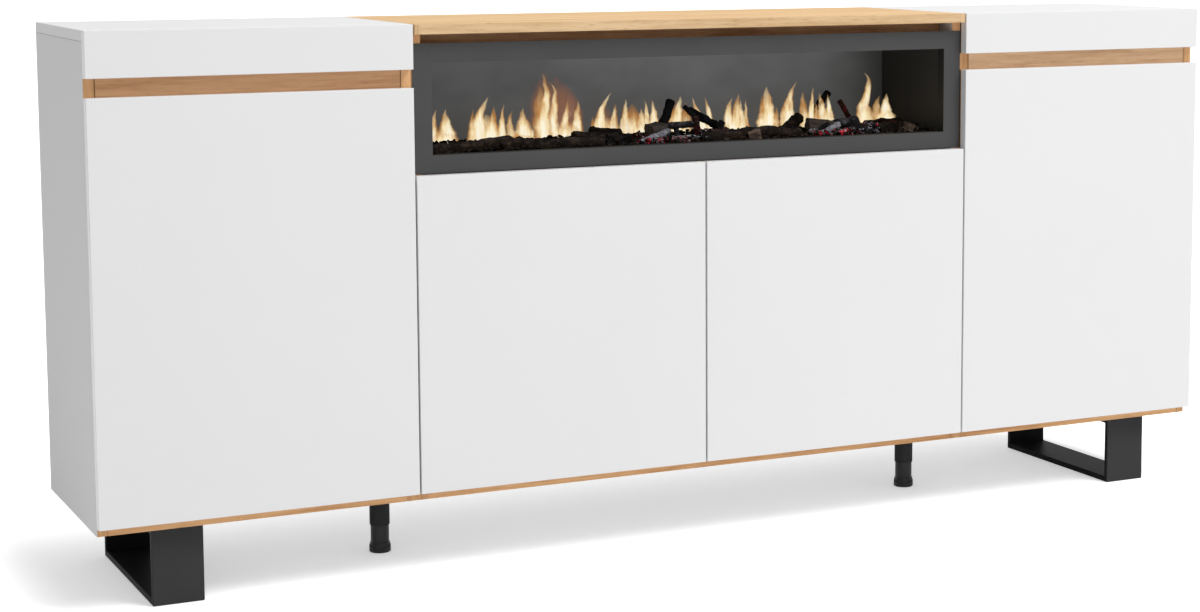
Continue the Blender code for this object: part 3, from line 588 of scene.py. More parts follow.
def flame_finish(name, core, edge, power, cover):
    """Burning gas: a pale core, an amber rim, and a cover that thins towards the rim and the tip."""
    finish = Finish(name)
    side, rise, amber = (
        finish.make("ShaderNodeAttribute", out="Fac", attribute_name=key)
        for key in ("side", "rise", "amber")
    )
    threads = finish.grain((1, 1, 0.14), 190.0, 3.0, 0.6) - 0.5
    patches = finish.grain((1, 1, 0.45), 62.0, 2.0) - 0.5
    inside = 1.0 - side * side
    cooler = amber * 0.42
    heat = inside * finish.spread(rise, 0.0, 1.0, 0.92, 0.42) + threads * 1.1 + patches * 1.4
    heat = finish.calc("SUBTRACT", heat, cooler, clamp=True)
    stops = ((0.02, edge), (0.34, between(core, edge, 0.58)), (0.62, core), (0.90, HOTTEST_FLAME))
    body = finish.spread(inside + threads * 0.5, 0.0, 0.95)
    shown = body * finish.spread(rise, 1.0, 0.55, 0.20, 1.0) * ((1.0 - cooler) * cover)
    light = finish.make("ShaderNodeEmission", {"Color": finish.ramp(heat, *stops), "Strength": power})
    clear = finish.make("ShaderNodeBsdfTransparent")
    return finish.end(finish.make("ShaderNodeMixShader", {0: shown, 1: clear, 2: light}))


def charred(name, dark, light, ash, cracks=110.0, glow=None, glow_power=0.0):
    """Charred wood: cracked, with paler crests, ash on what looks up, and a glow in the cracks."""
    finish = Finish(name)
    patches = finish.grain(EVEN, 55.0, 6.0, 0.7, 0.4)
    crack = finish.spread(finish.cells((0.5, 1.0, 1.0), cracks), 0.0, 0.10, 1.0, 0.0)
    colour = finish.ramp(patches, (0.42, dark), (0.60, light), (0.74, scaled(light, 2.2)))
    colour = finish.blend(crack * 0.8, colour, rgba(dark))
    _, _, up = finish.split(finish.make("ShaderNodeNewGeometry", out="Normal"))
    dust = finish.spread(up, 0.1, 0.9) * finish.spread(patches, 0.42, 0.62)
    colour = finish.blend(dust * ash, colour, rgba(WOOD_ASH))
    normal = finish.bump(patches - crack * 0.7, 1.2, 0.9)
    if glow is None:
        return finish.shade(colour, 0.92, normal, gloss=0.12)
    hot = finish.spread(finish.grain(EVEN, 70.0, 3.0, 0.6, 1.0), 0.50, 0.66)
    strength = hot * finish.spread(up, 0.75, 0.2, 0.15, 1.0) * glow_power
    light = {"emission_color": rgba(glow), "emission_strength": strength}
    return finish.shade(colour, 0.9, normal, gloss=0.12, **light)


def sawn_face(name, light, dark):
    """Split firewood: grey-brown, with its grain along X."""
    finish = Finish(name)
    grain = finish.grain((0.5, 6.0, 6.0), 40.0, 6.0, 0.7, 0.5)
    colour = finish.ramp(grain, (0.3, dark), (0.7, light))
    return finish.shade(colour, 0.9, finish.bump(grain, 0.8, 0.8))


def pale_floor(settings):
    """Plain pale floor that keeps the cabinet's shadow and turns white away from it."""
    finish = Finish("pale_floor")
    diffuse = finish.make(
        "ShaderNodeBsdfDiffuse", {"Color": finish.ramp(finish.grain(EVEN, 2.0, 2.0), *FLOOR_TONES)}
    )
    x, y, _ = finish.split(finish.place)
    beside, before = (
        finish.calc("MAXIMUM", abs(value) - reach, 0.0)
        for value, reach in ((x, CAD_HIGH.x), (y, CAD_HIGH.y))
    )
    away = finish.distance(beside * settings.floor_ends, before)
    white = finish.spread(away, 0.0, settings.floor_reach, settings.floor_lift, 1.0)
    lift = finish.background_rays() * white
    light = finish.make("ShaderNodeEmission", {"Color": WHITE_LIGHT, "Strength": lift})
    return finish.end(finish.make("ShaderNodeAddShader", {0: diffuse, 1: light}))


def mesh_object(name, shape, *materials, smooth=False):
    """A bmesh made into an object in the scene, with its normals outwards."""
    bmesh.ops.recalc_face_normals(shape, faces=shape.faces)
    mesh = bpy.data.meshes.new(name)
    shape.to_mesh(mesh)
    shape.free()
    for material in materials:
        mesh.materials.append(material)
    if smooth:
        mesh.shade_smooth()
        mesh.set_sharp_from_angle(angle=math.radians(42))
    return placed(name, mesh)


def settle(piece, body, slot, *replaced):
    """Makes a finished piece ride on a body, with its slot and the nodes that it stands for."""
    if replaced:
        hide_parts(*replaced)
    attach(piece, body)


class GeometryTree(Tree):
    """A Geometry Nodes tree with named inputs, of which Geometry is the first and Material the last."""

    def __init__(self, name, **inputs):
        super().__init__(bpy.data.node_groups.new(name, "GeometryNodeTree"))
        face = self.tree.interface
        self.sockets = {
            key: face.new_socket(name=label(key), in_out="INPUT", socket_type="NodeSocket" + kind)
            for key, kind in {"geometry": "Geometry", **inputs, "material": "Material"}.items()
        }
        face.new_socket(name="Geometry", in_out="OUTPUT", socket_type="NodeSocketGeometry")
        given = self.add("NodeGroupInput").outputs
        self.ins = {key: Field(self, socket) for key, socket in zip(self.sockets, given)}

    def dots(self):
        """The points that the tree runs on."""
        return self.make("GeometryNodeMeshToPoints", {"Mesh": self.ins["geometry"]})

    def field(self, name, kind="FLOAT"):
        """A named attribute."""
        return self.make("GeometryNodeInputNamedAttribute", {"Name": name}, data_type=kind)

    def keep(self, geometry, name, value):
        """Stores a number on the points."""
        values = {"Geometry": geometry, "Name": name, "Value": value}
        return self.make("GeometryNodeStoreNamedAttribute", values, data_type="FLOAT", domain="POINT")

    def random(self, low, high, seed, kind="FLOAT"):
        """A random value for each point."""
        values = {"Min": low, "Max": high, "Seed": seed}
        return self.make("FunctionNodeRandomValue", values, out="Value", data_type=kind)

    def noise_at(self, *place):
        """Slow noise at a place."""
        return self.make("ShaderNodeTexNoise", {"Vector": self.join(*place), "Scale": 1.6})

    def profile(self, value, shares):
        """A float curve through shares."""
        node = self.add("ShaderNodeFloatCurve", {"Value": value})
        curve = node.mapping.curves[0]
        for place, share in shares[1:-1]:
            curve.points.new(place, share)
        for mark, (place, share) in zip(curve.points, shares):
            mark.location = (place, share)
        node.mapping.update()
        return Field(self, node.outputs[0])

    def cube(self, *sides):
        """A block round the middle."""
        return self.make("GeometryNodeMeshCube", {"Size": self.join(*sides)})

    def transform(self, geometry, **change):
        """A geometry moved or scaled as one."""
        values = {label(key): value for key, value in change.items()}
        return self.make("GeometryNodeTransform", {"Geometry": geometry, **values})

    def cut_or_join(self, operation, others, values=None):
        """Meshes joined into one, or cut out of the first."""
        node = self.add("GeometryNodeMeshBoolean", values, operation=operation, solver="EXACT")
        for other in others:
            self.give(node.inputs["Mesh 2"], other)
        return Field(self, node.outputs[0])

    def facing(self, vector, axis):
        """The turn that brings an axis along a vector."""
        return self.make("FunctionNodeAlignRotationToVector", {"Vector": vector}, axis=axis)

    def copies(self, points, piece, **turned):
        """A copy of a piece on every point."""
        values = {label(key): value for key, value in turned.items()}
        return self.make("GeometryNodeInstanceOnPoints", {"Points": points, "Instance": piece, **values})

    def move(self, geometry, offset):
        """Points moved one by one."""
        return self.make("GeometryNodeSetPosition", {"Geometry": geometry, "Offset": offset})

    def shaded(self, geometry, smooth):
        """Faces shaded smooth or flat."""
        values = {"Geometry": geometry, "Shade Smooth": smooth}
        return self.make("GeometryNodeSetShadeSmooth", values)

    def real(self, geometry):
        """Copies made real."""
        return self.make("GeometryNodeRealizeInstances", {0: geometry})

    def end(self, geometry):
        """Ends the tree in Realize Instances and Set Material, and gives it back."""
        values = {"Geometry": self.real(geometry), "Material": self.ins["material"]}
        self.add("NodeGroupOutput", {0: self.make("GeometryNodeSetMaterial", values)})
        return self

    def bake(self, name, points, **values):
        """Runs the tree on a mesh of points and gives back a plain mesh object."""
        carrier = placed(name + "_points", points)
        modifier = carrier.modifiers.new(name, "NODES")
        modifier.node_group = self.tree
        for key, value in values.items():
            modifier[self.sockets[key].identifier] = value
        ready = carrier.evaluated_get(bpy.context.evaluated_depsgraph_get())
        mesh = bpy.data.meshes.new_from_object(ready)
        mesh.name = name
        carrier.modifiers.remove(modifier)
        bpy.data.objects.remove(carrier)
        return placed(name, mesh)


def points_mesh(name, places, numbers=None, vectors=None):
    """A mesh of loose points, with a number or a vector for each point."""
    mesh = bpy.data.meshes.new(name)
    mesh.from_pydata([tuple(place) for place in places], [], [])
    for key, values in (numbers or {}).items():
        mesh.attributes.new(key, "FLOAT", "POINT").data.foreach_set("value", values)
    for key, values in (vectors or {}).items():
        flat = [number for value in values for number in value]
        mesh.attributes.new(key, "FLOAT_VECTOR", "POINT").data.foreach_set("vector", flat)
    return mesh


def head_tree():
    """Round heads with a cross recess, one on each point, turned to face along its facing vector."""
    made = GeometryTree("round_heads", radius="Float", height="Float", crown="Float", recess="Float")
    radius, height = made.ins["radius"], made.ins["height"]
    sizes = {"Radius Top": radius * made.ins["crown"], "Radius Bottom": radius, "Depth": height}
    cone = made.make("GeometryNodeMeshCone", {"Vertices": 24, "Side Segments": 2, **sizes}, out="Mesh")
    long_side, width, depth = radius * 1.1, radius * 0.24, made.ins["recess"] * 2.0
    bars = [made.cube(*sides, depth) for sides in ((long_side, width), (width, long_side))]
    cross = made.transform(made.cut_or_join("UNION", bars), translation=made.join(0.0, 0.0, height))
    head = made.cut_or_join("DIFFERENCE", [cross], {"Mesh 1": cone})
    turn = made.facing(made.field("facing", "FLOAT_VECTOR"), "Z")
    return made.end(made.copies(made.dots(), head, rotation=turn))


def rib_tree():
    """Upright ribs round a circle at each point."""
    made = GeometryTree("foot_ribs", count="Int", radius="Float", rib_height="Float", rib_width="Float")
    circle = {"Vertices": made.ins["count"], "Radius": made.ins["radius"]}
    ring = made.make("GeometryNodeMeshCircle", circle)
    width = made.ins["rib_width"]
    rib = made.cube(width, width, made.ins["rib_height"])
    outwards = made.facing(made.make("GeometryNodeInputPosition"), "X")
    crown = made.copies(ring, rib, rotation=outwards)
    return made.end(made.copies(made.dots(), crown))


def scatter_tree():
    """Rough chips scattered over a patch, each turned, sized and crumpled by its place."""
    made = GeometryTree(
        "scattered_chips",
        patch_size="Vector",
        patch_centre="Vector",
        density="Float",
        chip_size="Vector",
        tilt="Float",
        crumple="Float",
        lift="Float",
        seed="Int",
    )
    seed, tilt, crumple = (made.ins[key] for key in ("seed", "tilt", "crumple"))
    wide, deep, _ = made.split(made.ins["patch_size"])
    grid = made.make("GeometryNodeMeshGrid", {"Size X": wide, "Size Y": deep})
    patch = made.transform(grid, translation=made.ins["patch_centre"])
    values = {"Mesh": patch, "Density": made.ins["density"], "Seed": seed}
    dots = made.make("GeometryNodeDistributePointsOnFaces", values)
    raised = made.move(dots, made.join(0.0, 0.0, made.random(0.0, made.ins["lift"], seed)))
    ball = made.make("GeometryNodeMeshIcoSphere", {"Radius": 0.5, "Subdivisions": 1})
    chip = made.transform(ball, scale=made.ins["chip_size"])
    back = tilt * -1.0
    least, most = made.join(back, back, -math.pi), made.join(tilt, tilt, math.pi)
    turn = made.random(least, most, seed, "FLOAT_VECTOR")
    grow = made.random(0.45, 1.35, seed + 7.0)
    real = made.real(made.copies(raised, chip, rotation=turn, scale=grow))
    wander = made.make("ShaderNodeTexNoise", {"Scale": 170.0, "Detail": 2.0}, out="Color")
    wander = made.vector("SUBTRACT", wander, (0.5, 0.5, 0.5))
    offset = made.vector("MULTIPLY", wander, made.join(crumple, crumple, crumple))
    return made.end(made.shaded(made.move(real, offset), False))


def flame_tree():
    """Flame tongues: a round column on each point, drawn out to a tip along a bent centre line."""
    made = GeometryTree("flame_tongues", thickness="Float")
    sizes = {"Vertices": 16, "Side Segments": 30, "Radius": 1.0, "Depth": 1.0}
    column = made.make("GeometryNodeMeshCylinder", sizes, out="Mesh")
    x, y, z = made.split(made.make("GeometryNodeInputPosition"))
    for key, value in (("side", x), ("deep", y), ("rise", z + 0.5)):
        column = made.keep(column, key, value)
    real = made.real(made.copies(made.dots(), column))
    side, deep, rise = (made.field(key) for key in ("side", "deep", "rise"))
    drawn_out, full_body = (
        made.profile(rise, shares) for shares in (DRAWN_OUT_SHARES, FULL_BODY_SHARES)
    )
    fullness, height, phase = (made.field(key) for key in ("fullness", "height", "phase"))
    outline = drawn_out * (1.0 - fullness) + full_body * fullness
    bend = made.field("bend_3") * rise
    for key in ("bend_2", "bend_1"):
        bend = (made.field(key) + bend) * rise
    sway = (made.noise_at(phase, 0.0, rise * 3.2) - 0.5) * (rise * 0.13)
    swell = made.noise_at(0.0, phase, rise * 4.5) * 0.80 + 0.70
    width = made.field("half_width") * outline * swell
    centre = (bend + sway) * height
    drawn = made.join(side * width + centre, deep * width * made.ins["thickness"], rise * height)
    shift = made.vector("SUBTRACT", drawn, made.join(side, deep, rise - 0.5))
    return made.end(made.shaded(made.move(real, shift), True))


def bend_terms(low, middle, top):
    """The three terms of the curve through a tongue's offsets at a third, two thirds and its tip."""
    return (
        9.0 * low - 4.5 * middle + top,
        -22.5 * low + 18.0 * middle - 4.5 * top,
        13.5 * low - 13.5 * middle + 4.5 * top,
    )


# Width of a tongue along its height, as shares of its height and of its half width
DRAWN_OUT_SHARES = (
    (0.0, 0.86), (0.10, 1.0), (0.28, 0.90), (0.45, 0.62), (0.65, 0.36), (0.85, 0.16), (1.0, 0.01),
)
FULL_BODY_SHARES = (
    (0.0, 0.94), (0.15, 1.0), (0.50, 0.92), (0.72, 0.72), (0.88, 0.42), (0.96, 0.20), (1.0, 0.01),
)

# Flame tongues: place along the opening, half width and height as shares of the opening's half
# length and height, offsets of the centre line at a third, at two thirds and at the tip as shares
# of the tongue's height, then fullness, amber and the row
FLAME_SHARES = (
    (-0.827, 0.02, 0.41, -0.04, -0.04, 0.05, 0.25, 0.45, 0),
    (-0.78, 0.037, 0.41, -0.04, -0.07, -0.06, 0.15, 0.0, 0),
    (-0.794, 0.05, 0.16, 0.0, 0.0, 0.0, 0.9, 0.35, 0),
    (-0.691, 0.015, 0.4, 0.0, 0.01, 0.05, 0.35, 0.8, 0),
    (-0.667, 0.033, 0.54, -0.01, 0.06, 0.24, 0.2, 0.0, 0),
    (-0.616, 0.025, 0.42, 0.01, 0.04, 0.07, 0.4, 0.15, 0),
    (-0.574, 0.016, 0.45, 0.0, 0.02, 0.07, 0.15, 0.0, 0),
    (-0.629, 0.045, 0.33, -0.01, -0.03, -0.04, 0.95, 0.55, 0),
    (-0.531, 0.019, 0.37, -0.09, -0.12, -0.03, 0.3, 0.6, 0),
    (-0.488, 0.037, 0.39, -0.03, -0.07, -0.05, 0.2, 0.0, 0),
    (-0.504, 0.043, 0.1, 0.0, 0.0, 0.0, 0.9, 0.45, 0),
    (-0.409, 0.027, 0.79, -0.035, 0.015, -0.045, 0.3, 0.05, 0),
    (-0.358, 0.022, 0.68, -0.095, -0.04, -0.14, 0.3, 0.05, 0),
    (-0.342, 0.021, 0.46, 0.06, 0.13, 0.17, 0.25, 0.2, 0),
    (-0.283, 0.023, 0.45, 0.0, 0.02, 0.03, 0.35, 0.15, 0),
    (-0.416, 0.034, 0.64, -0.03, -0.05, -0.05, 0.75, 0.9, 0),
    (-0.321, 0.042, 0.21, 0.0, 0.01, 0.04, 0.95, 0.6, 0),
    (-0.19, 0.025, 0.54, -0.03, 0.03, 0.25, 0.2, 0.0, 0),
    (-0.212, 0.015, 0.26, -0.03, -0.07, -0.07, 0.4, 0.85, 0),
    (-0.142, 0.022, 0.4, 0.03, 0.07, 0.09, 0.25, 0.15, 0),
    (-0.17, 0.045, 0.24, 0.02, 0.05, 0.07, 0.95, 0.5, 0),
    (-0.091, 0.024, 0.45, 0.0, 0.0, 0.01, 0.2, 0.0, 0),
    (-0.053, 0.035, 0.39, -0.04, -0.08, -0.11, 0.9, 0.9, 0),
    (-0.055, 0.015, 0.3, -0.01, -0.02, -0.05, 0.25, 0.0, 0),
    (-0.027, 0.026, 0.33, 0.02, 0.04, 0.04, 0.25, 0.0, 0),
    (-0.001, 0.017, 0.43, -0.01, -0.01, -0.08, 0.25, 0.1, 0),
    (0.026, 0.022, 0.43, 0.01, -0.01, -0.06, 0.25, 0.0, 0),
    (-0.018, 0.059, 0.19, 0.0, 0.0, 0.0, 0.95, 0.3, 0),
    (0.113, 0.029, 0.46, 0.02, 0.07, 0.14, 0.35, 0.05, 0),
    (0.094, 0.017, 0.43, -0.02, 0.01, 0.08, 0.4, 0.75, 0),
    (0.157, 0.023, 0.38, 0.01, 0.01, 0.0, 0.8, 0.9, 0),
    (0.131, 0.044, 0.17, 0.0, 0.01, 0.05, 0.95, 0.3, 0),
    (0.231, 0.018, 0.44, -0.07, -0.22, -0.33, 0.3, 0.0, 0),
    (0.254, 0.015, 0.44, 0.0, -0.04, -0.15, 0.35, 0.15, 0),
    (0.342, 0.021, 0.42, -0.05, -0.07, 0.05, 0.4, 0.1, 0),
    (0.365, 0.022, 0.47, -0.01, 0.01, 0.07, 0.45, 0.3, 0),
    (0.396, 0.027, 0.39, -0.05, -0.1, -0.07, 0.3, 0.0, 0),
    (0.411, 0.01, 0.4, 0.0, -0.01, -0.03, 0.4, 0.6, 0),
    (0.371, 0.048, 0.23, -0.03, -0.05, -0.04, 0.95, 0.15, 0),
    (0.495, 0.036, 0.54, 0.02, 0.03, 0.0, 0.45, 0.0, 0),
    (0.476, 0.016, 0.46, 0.0, 0.0, 0.02, 0.6, 0.85, 0),
    (0.535, 0.013, 0.29, 0.01, 0.01, 0.01, 0.5, 0.8, 0),
    (0.501, 0.039, 0.3, 0.01, 0.01, 0.02, 1.0, 0.0, 0),
    (0.592, 0.031, 0.59, -0.02, 0.03, 0.22, 0.2, 0.0, 0),
    (0.574, 0.019, 0.35, -0.01, -0.02, 0.02, 0.6, 0.7, 0),
    (0.657, 0.022, 0.46, 0.0, -0.03, -0.04, 0.45, 0.55, 0),
    (0.687, 0.016, 0.52, 0.0, 0.02, 0.05, 0.2, 0.05, 0),
    (0.707, 0.014, 0.32, 0.01, 0.01, -0.01, 0.5, 0.7, 0),
    (0.681, 0.033, 0.21, 0.0, 0.0, 0.0, 0.9, 0.35, 0),
    (0.74, 0.023, 0.44, 0.0, -0.03, -0.1, 0.35, 0.1, 0),
    (0.772, 0.019, 0.42, -0.01, -0.04, -0.08, 0.25, 0.0, 0),
    (0.751, 0.036, 0.25, 0.0, 0.0, 0.0, 0.95, 0.2, 0),
    (0.835, 0.023, 0.63, -0.045, 0.07, -0.01, 0.45, 0.0, 1),
    (0.838, 0.036, 0.27, -0.02, -0.03, -0.05, 0.7, 0.15, 1),
    (0.932, 0.032, 0.36, 0.01, -0.01, 0.03, 0.25, 0.0, 1),
    (0.895, 0.022, 0.34, -0.04, -0.05, 0.08, 0.45, 0.75, 1),
    (0.922, 0.043, 0.18, 0.0, 0.0, 0.0, 0.95, 0.3, 1),
)
HAZE_SHARES = (
    (-0.396, 0.052, 0.80, -0.02, -0.02, 0.01, 1.0, 1.0, 0),
    (-0.352, 0.052, 0.74, 0.02, 0.02, 0.0, 1.0, 0.6, 0),
    (-0.318, 0.056, 0.66, 0.02, 0.02, -0.02, 1.0, 0.5, 0),
    (-0.292, 0.040, 0.52, 0.02, 0.02, -0.02, 1.0, 0.7, 0),
    (0.113, 0.037, 0.43, 0.03, 0.05, 0.08, 0.9, 1.0, 0),
    (-0.17, 0.029, 0.38, 0.04, 0.09, 0.12, 0.9, 1.0, 0),
)

# Rows of tongues: their shares of the bed's depth and of the opening's height. Then how far each
# tongue stands in front of the last, how many make a round of that, how much broader a tongue is
# than its share, and how far its flutter runs on from the last one's
FLAME_ROW_PLACES = ((0.923, -0.02), (0.57, 0.06))
FLAME_STAGGER = 0.0010
FLAME_LAYERS = 6
FLAME_BREADTH = 1.14
FLAME_PHASE = 3.7

# Charred logs and sticks: both ends as shares of the opening's half length, of the bed's depth and
# of the opening's height over the slab, then the radius in metres, the kind and the seed
LOG_SHARES = (
    ((-0.985, 0.15, 0.00), (-0.655, 0.18, 0.07), 0.0125, "bark", 1),
    ((-0.720, 0.12, 0.03), (-0.620, 0.20, 0.06), 0.0105, "bark", 2),
    ((-0.670, 0.20, 0.02), (-0.330, 0.12, 0.02), 0.0120, "bark", 3),
    ((-0.420, 0.30, 0.08), (-0.250, 0.22, 0.04), 0.0110, "bark", 4),
    ((-0.330, 0.42, 0.10), (-0.215, 0.36, 0.07), 0.0120, "bark", 5),
    ((0.050, 0.14, 0.01), (0.365, 0.17, 0.07), 0.0115, "bark", 6),
    ((0.250, 0.24, 0.03), (0.480, 0.22, 0.02), 0.0110, "bark", 7),
    ((0.445, 0.40, 0.02), (0.540, 0.48, 0.19), 0.0100, "bark", 8),
    ((0.645, 0.38, 0.07), (0.770, 0.42, 0.11), 0.0100, "grey", 9),
    ((0.700, 0.34, 0.02), (0.985, 0.24, 0.02), 0.0115, "bark", 10),
    ((0.820, 0.50, 0.04), (0.985, 0.52, 0.06), 0.0100, "bark", 11),
    ((-0.052, 0.44, 0.05), (-0.004, 0.42, 0.46), 0.0078, "black", 12),
    ((-0.030, 0.38, 0.155), (0.075, 0.38, 0.17), 0.0060, "grey", 13),
    ((0.010, 0.38, 0.00), (0.004, 0.38, 0.16), 0.0048, "grey", 14),
    ((0.046, 0.42, 0.38), (0.086, 0.40, 0.24), 0.0046, "black", 15),
    ((0.084, 0.40, 0.26), (0.092, 0.36, 0.02), 0.0062, "twig", 16),
    ((0.080, 0.50, 0.32), (0.190, 0.46, 0.12), 0.0068, "black", 17),
    ((-0.185, 0.14, 0.00), (-0.035, 0.32, 0.11), 0.0060, "ash", 22),
    ((0.545, 0.14, 0.00), (0.665, 0.32, 0.10), 0.0060, "ash", 23),
    ((0.060, 0.26, 0.00), (0.200, 0.34, 0.10), 0.0052, "twig", 24),
    ((0.870, 0.44, 0.12), (0.985, 0.36, 0.05), 0.0040, "twig", 25),
    ((0.660, 0.955, 0.02), (0.778, 0.955, 0.42), 0.0070, "black", 18),
    ((0.790, 0.82, 0.33), (0.850, 0.80, 0.00), 0.0048, "twig", 19),
    ((0.560, 0.30, 0.00), (0.625, 0.34, 0.10), 0.0062, "black", 20),
    ((0.670, 0.22, 0.02), (0.740, 0.30, 0.08), 0.0055, "black", 21),
)

# Split and sawn pieces: centre as above, size in metres, turn in degrees and the kind
CHUNK_SHARES = (
    ((-0.069, 0.40, 0.10), (0.031, 0.022, 0.024), (8, -6, 14), "split"),
    ((0.600, 0.40, 0.09), (0.042, 0.024, 0.018), (4, 6, -8), "split"),
    ((-0.290, 0.20, 0.05), (0.022, 0.012, 0.010), (20, 24, 30), "black"),
    ((-0.235, 0.20, 0.05), (0.022, 0.012, 0.010), (10, -28, -20), "black"),
    ((0.455, 0.24, 0.05), (0.014, 0.012, 0.012), (30, 10, 20), "black"),
    ((0.170, 0.30, 0.165), (0.009, 0.008, 0.011), (20, 15, 30), "black"),
    ((0.262, 0.10, 0.045), (0.020, 0.018, 0.015), (14, -12, -24), "sawn"),
    ((0.934, 0.15, 0.040), (0.024, 0.018, 0.013), (10, 14, 28), "sawn"),
)

# Patches of loose pieces: centre along and across, size along and across, density per square
# metre, chip size in metres, tilt, crumple, lift, seed and kind
PATCH_SHARES = (
    (0.0, 0.45, 2.02, 0.86, 6500.0, (0.011, 0.007, 0.005), 0.5, 0.006, 0.004, 3, "bark"),
    (0.0, 0.50, 2.02, 0.90, 4200.0, (0.006, 0.005, 0.004), 1.0, 0.004, 0.006, 5, "bark"),
    (-0.165, 0.42, 0.16, 0.20, 42000.0, (0.013, 0.0016, 0.0016), 0.5, 0.002, 0.012, 11, "straw"),
    (0.185, 0.46, 0.10, 0.22, 42000.0, (0.011, 0.0018, 0.0018), 0.6, 0.002, 0.014, 12, "straw"),
    (0.900, 0.40, 0.14, 0.24, 42000.0, (0.012, 0.0018, 0.0018), 0.5, 0.002, 0.014, 13, "straw"),
    (-0.085, 0.18, 0.18, 0.16, 60000.0, (0.0075, 0.0055, 0.0045), 0.9, 0.003, 0.008, 21, "ember"),
    (0.620, 0.18, 0.20, 0.16, 60000.0, (0.0075, 0.0055, 0.0045), 0.9, 0.003, 0.008, 22, "ember"),
    (0.112, 0.32, 0.05, 0.20, 60000.0, (0.0075, 0.0055, 0.0045), 0.9, 0.003, 0.014, 23, "ember"),
    (0.788, 0.34, 0.06, 0.20, 60000.0, (0.0075, 0.0055, 0.0045), 0.9, 0.003, 0.014, 24, "ember"),
    (0.020, 0.16, 0.16, 0.14, 40000.0, (0.008, 0.004, 0.002), 0.5, 0.003, 0.010, 31, "ash"),
    (0.730, 0.16, 0.12, 0.14, 40000.0, (0.008, 0.004, 0.002), 0.5, 0.003, 0.010, 32, "ash"),
    (0.020, 0.18, 0.18, 0.16, 40000.0, (0.0075, 0.005, 0.004), 0.9, 0.003, 0.010, 33, "black"),
    (0.730, 0.18, 0.14, 0.16, 40000.0, (0.0075, 0.005, 0.004), 0.9, 0.003, 0.010, 34, "black"),
)


def in_bed(along, over, lift):
    """A place in the firebox from shares of the opening and the bed."""
    x, y, z = along * OPENING_HALF, over * BED_DEPTH, lift * OPENING_HEIGHT
    return Vector((x, BED_LOW.y + y, SLAB_TOP + z))


def bark_slab(material):
    """The moulded slab under the logs: a closed block whose top is rough bark."""
    columns, rows, crest, lumps, grit = 220, 44, 0.0042, 45, 190
    shape = bmesh.new()
    bmesh.ops.create_grid(shape, x_segments=columns, y_segments=rows, size=0.5)
    size, middle = BED_HIGH - BED_LOW, (BED_HIGH + BED_LOW) / 2
    for point in shape.verts:
        place = Vector((middle.x + point.co.x * size.x, middle.y + point.co.y * size.y, 0))
        rough = noise.fractal(place * lumps, 0.8, 2.2, 5) + 0.5 * abs(noise.noise(place * grit))
        point.co = (place.x, place.y, SLAB_TOP + crest * (rough - 0.4))
    rim = [edge for edge in shape.edges if edge.is_boundary]
    skirt = bmesh.ops.extrude_edge_only(shape, edges=rim)["geom"]
    for item in skirt:
        if isinstance(item, bmesh.types.BMVert):
            item.co.z = BED_LOW.z
    low_edges = [item for item in skirt if isinstance(item, bmesh.types.BMEdge) and item.is_boundary]
    bmesh.ops.contextual_create(shape, geom=low_edges)
    return mesh_object("bark_slab", shape, material, smooth=True)


def add_log(shape, start, end, radius, seed, kind_index):
    """A knobbly log with ragged bark and slightly hollow ends, added to a bmesh."""
    sides, rings = 18, 22
    run = end - start
    turn = run.to_track_quat("Z", "Y").to_matrix()
    rounds = []
    for step in range(rings + 1):
        rise = step / rings
        round_end = min(1.0, 0.72 + 6 * min(rise, 1 - rise))
        ring = []
        for side in range(sides):
            angle = 2 * math.pi * side / sides
            ray = Vector((math.cos(angle), math.sin(angle), 0))
            key = ray * 1.3 + Vector((seed * 7.3, seed * 3.1, rise * run.length / radius * 0.7))
            swell = 1 + 0.30 * noise.noise(key) + 0.22 * abs(noise.noise(key * 3.4)) - 0.08
            local = ray * radius * swell * round_end + Vector((0, 0, rise * run.length))
            ring.append(shape.verts.new(start + turn @ local))
        rounds.append(ring)
    faces = []
    for low, high in zip(rounds, rounds[1:]):
        for index in range(sides):
            after = (index + 1) % sides
            faces.append(shape.faces.new((low[index], low[after], high[after], high[index])))
    for ring, inwards in ((rounds[0], 1), (rounds[-1], -1)):
        centre = sum((point.co for point in ring), Vector()) / sides
        hub = shape.verts.new(centre + run.normalized() * inwards * radius * 0.08)
        for index in range(sides):
            faces.append(shape.faces.new((ring[index], ring[(index + 1) % sides], hub)))
    for face in faces:
        face.material_index = kind_index
        face.smooth = True


def add_chunk(shape, centre, size, degrees, kind_index):
    """A split piece of wood with uneven corners, added to a bmesh."""
    x, y, z = (Matrix.Rotation(math.radians(turn), 3, axis) for turn, axis in zip(degrees, "XYZ"))
    turn = z @ y @ x
    block = bmesh.new()
    bmesh.ops.create_cube(block, size=1)
    bmesh.ops.subdivide_edges(block, edges=block.edges, cuts=6, use_grid_fill=True)
    copies = {}
    for point in block.verts:
        local = Vector(point.co)
        ragged = 0.10 * noise.noise_vector(local * 2.1 + centre * 90)
        ragged += 0.04 * noise.noise_vector(local * 9)
        local = Vector([a * b for a, b in zip(local + ragged, size)])
        copies[point.index] = shape.verts.new(centre + turn @ local)
    for face in block.faces:
        made = shape.faces.new([copies[point.index] for point in face.verts])
        made.material_index = kind_index
    block.free()


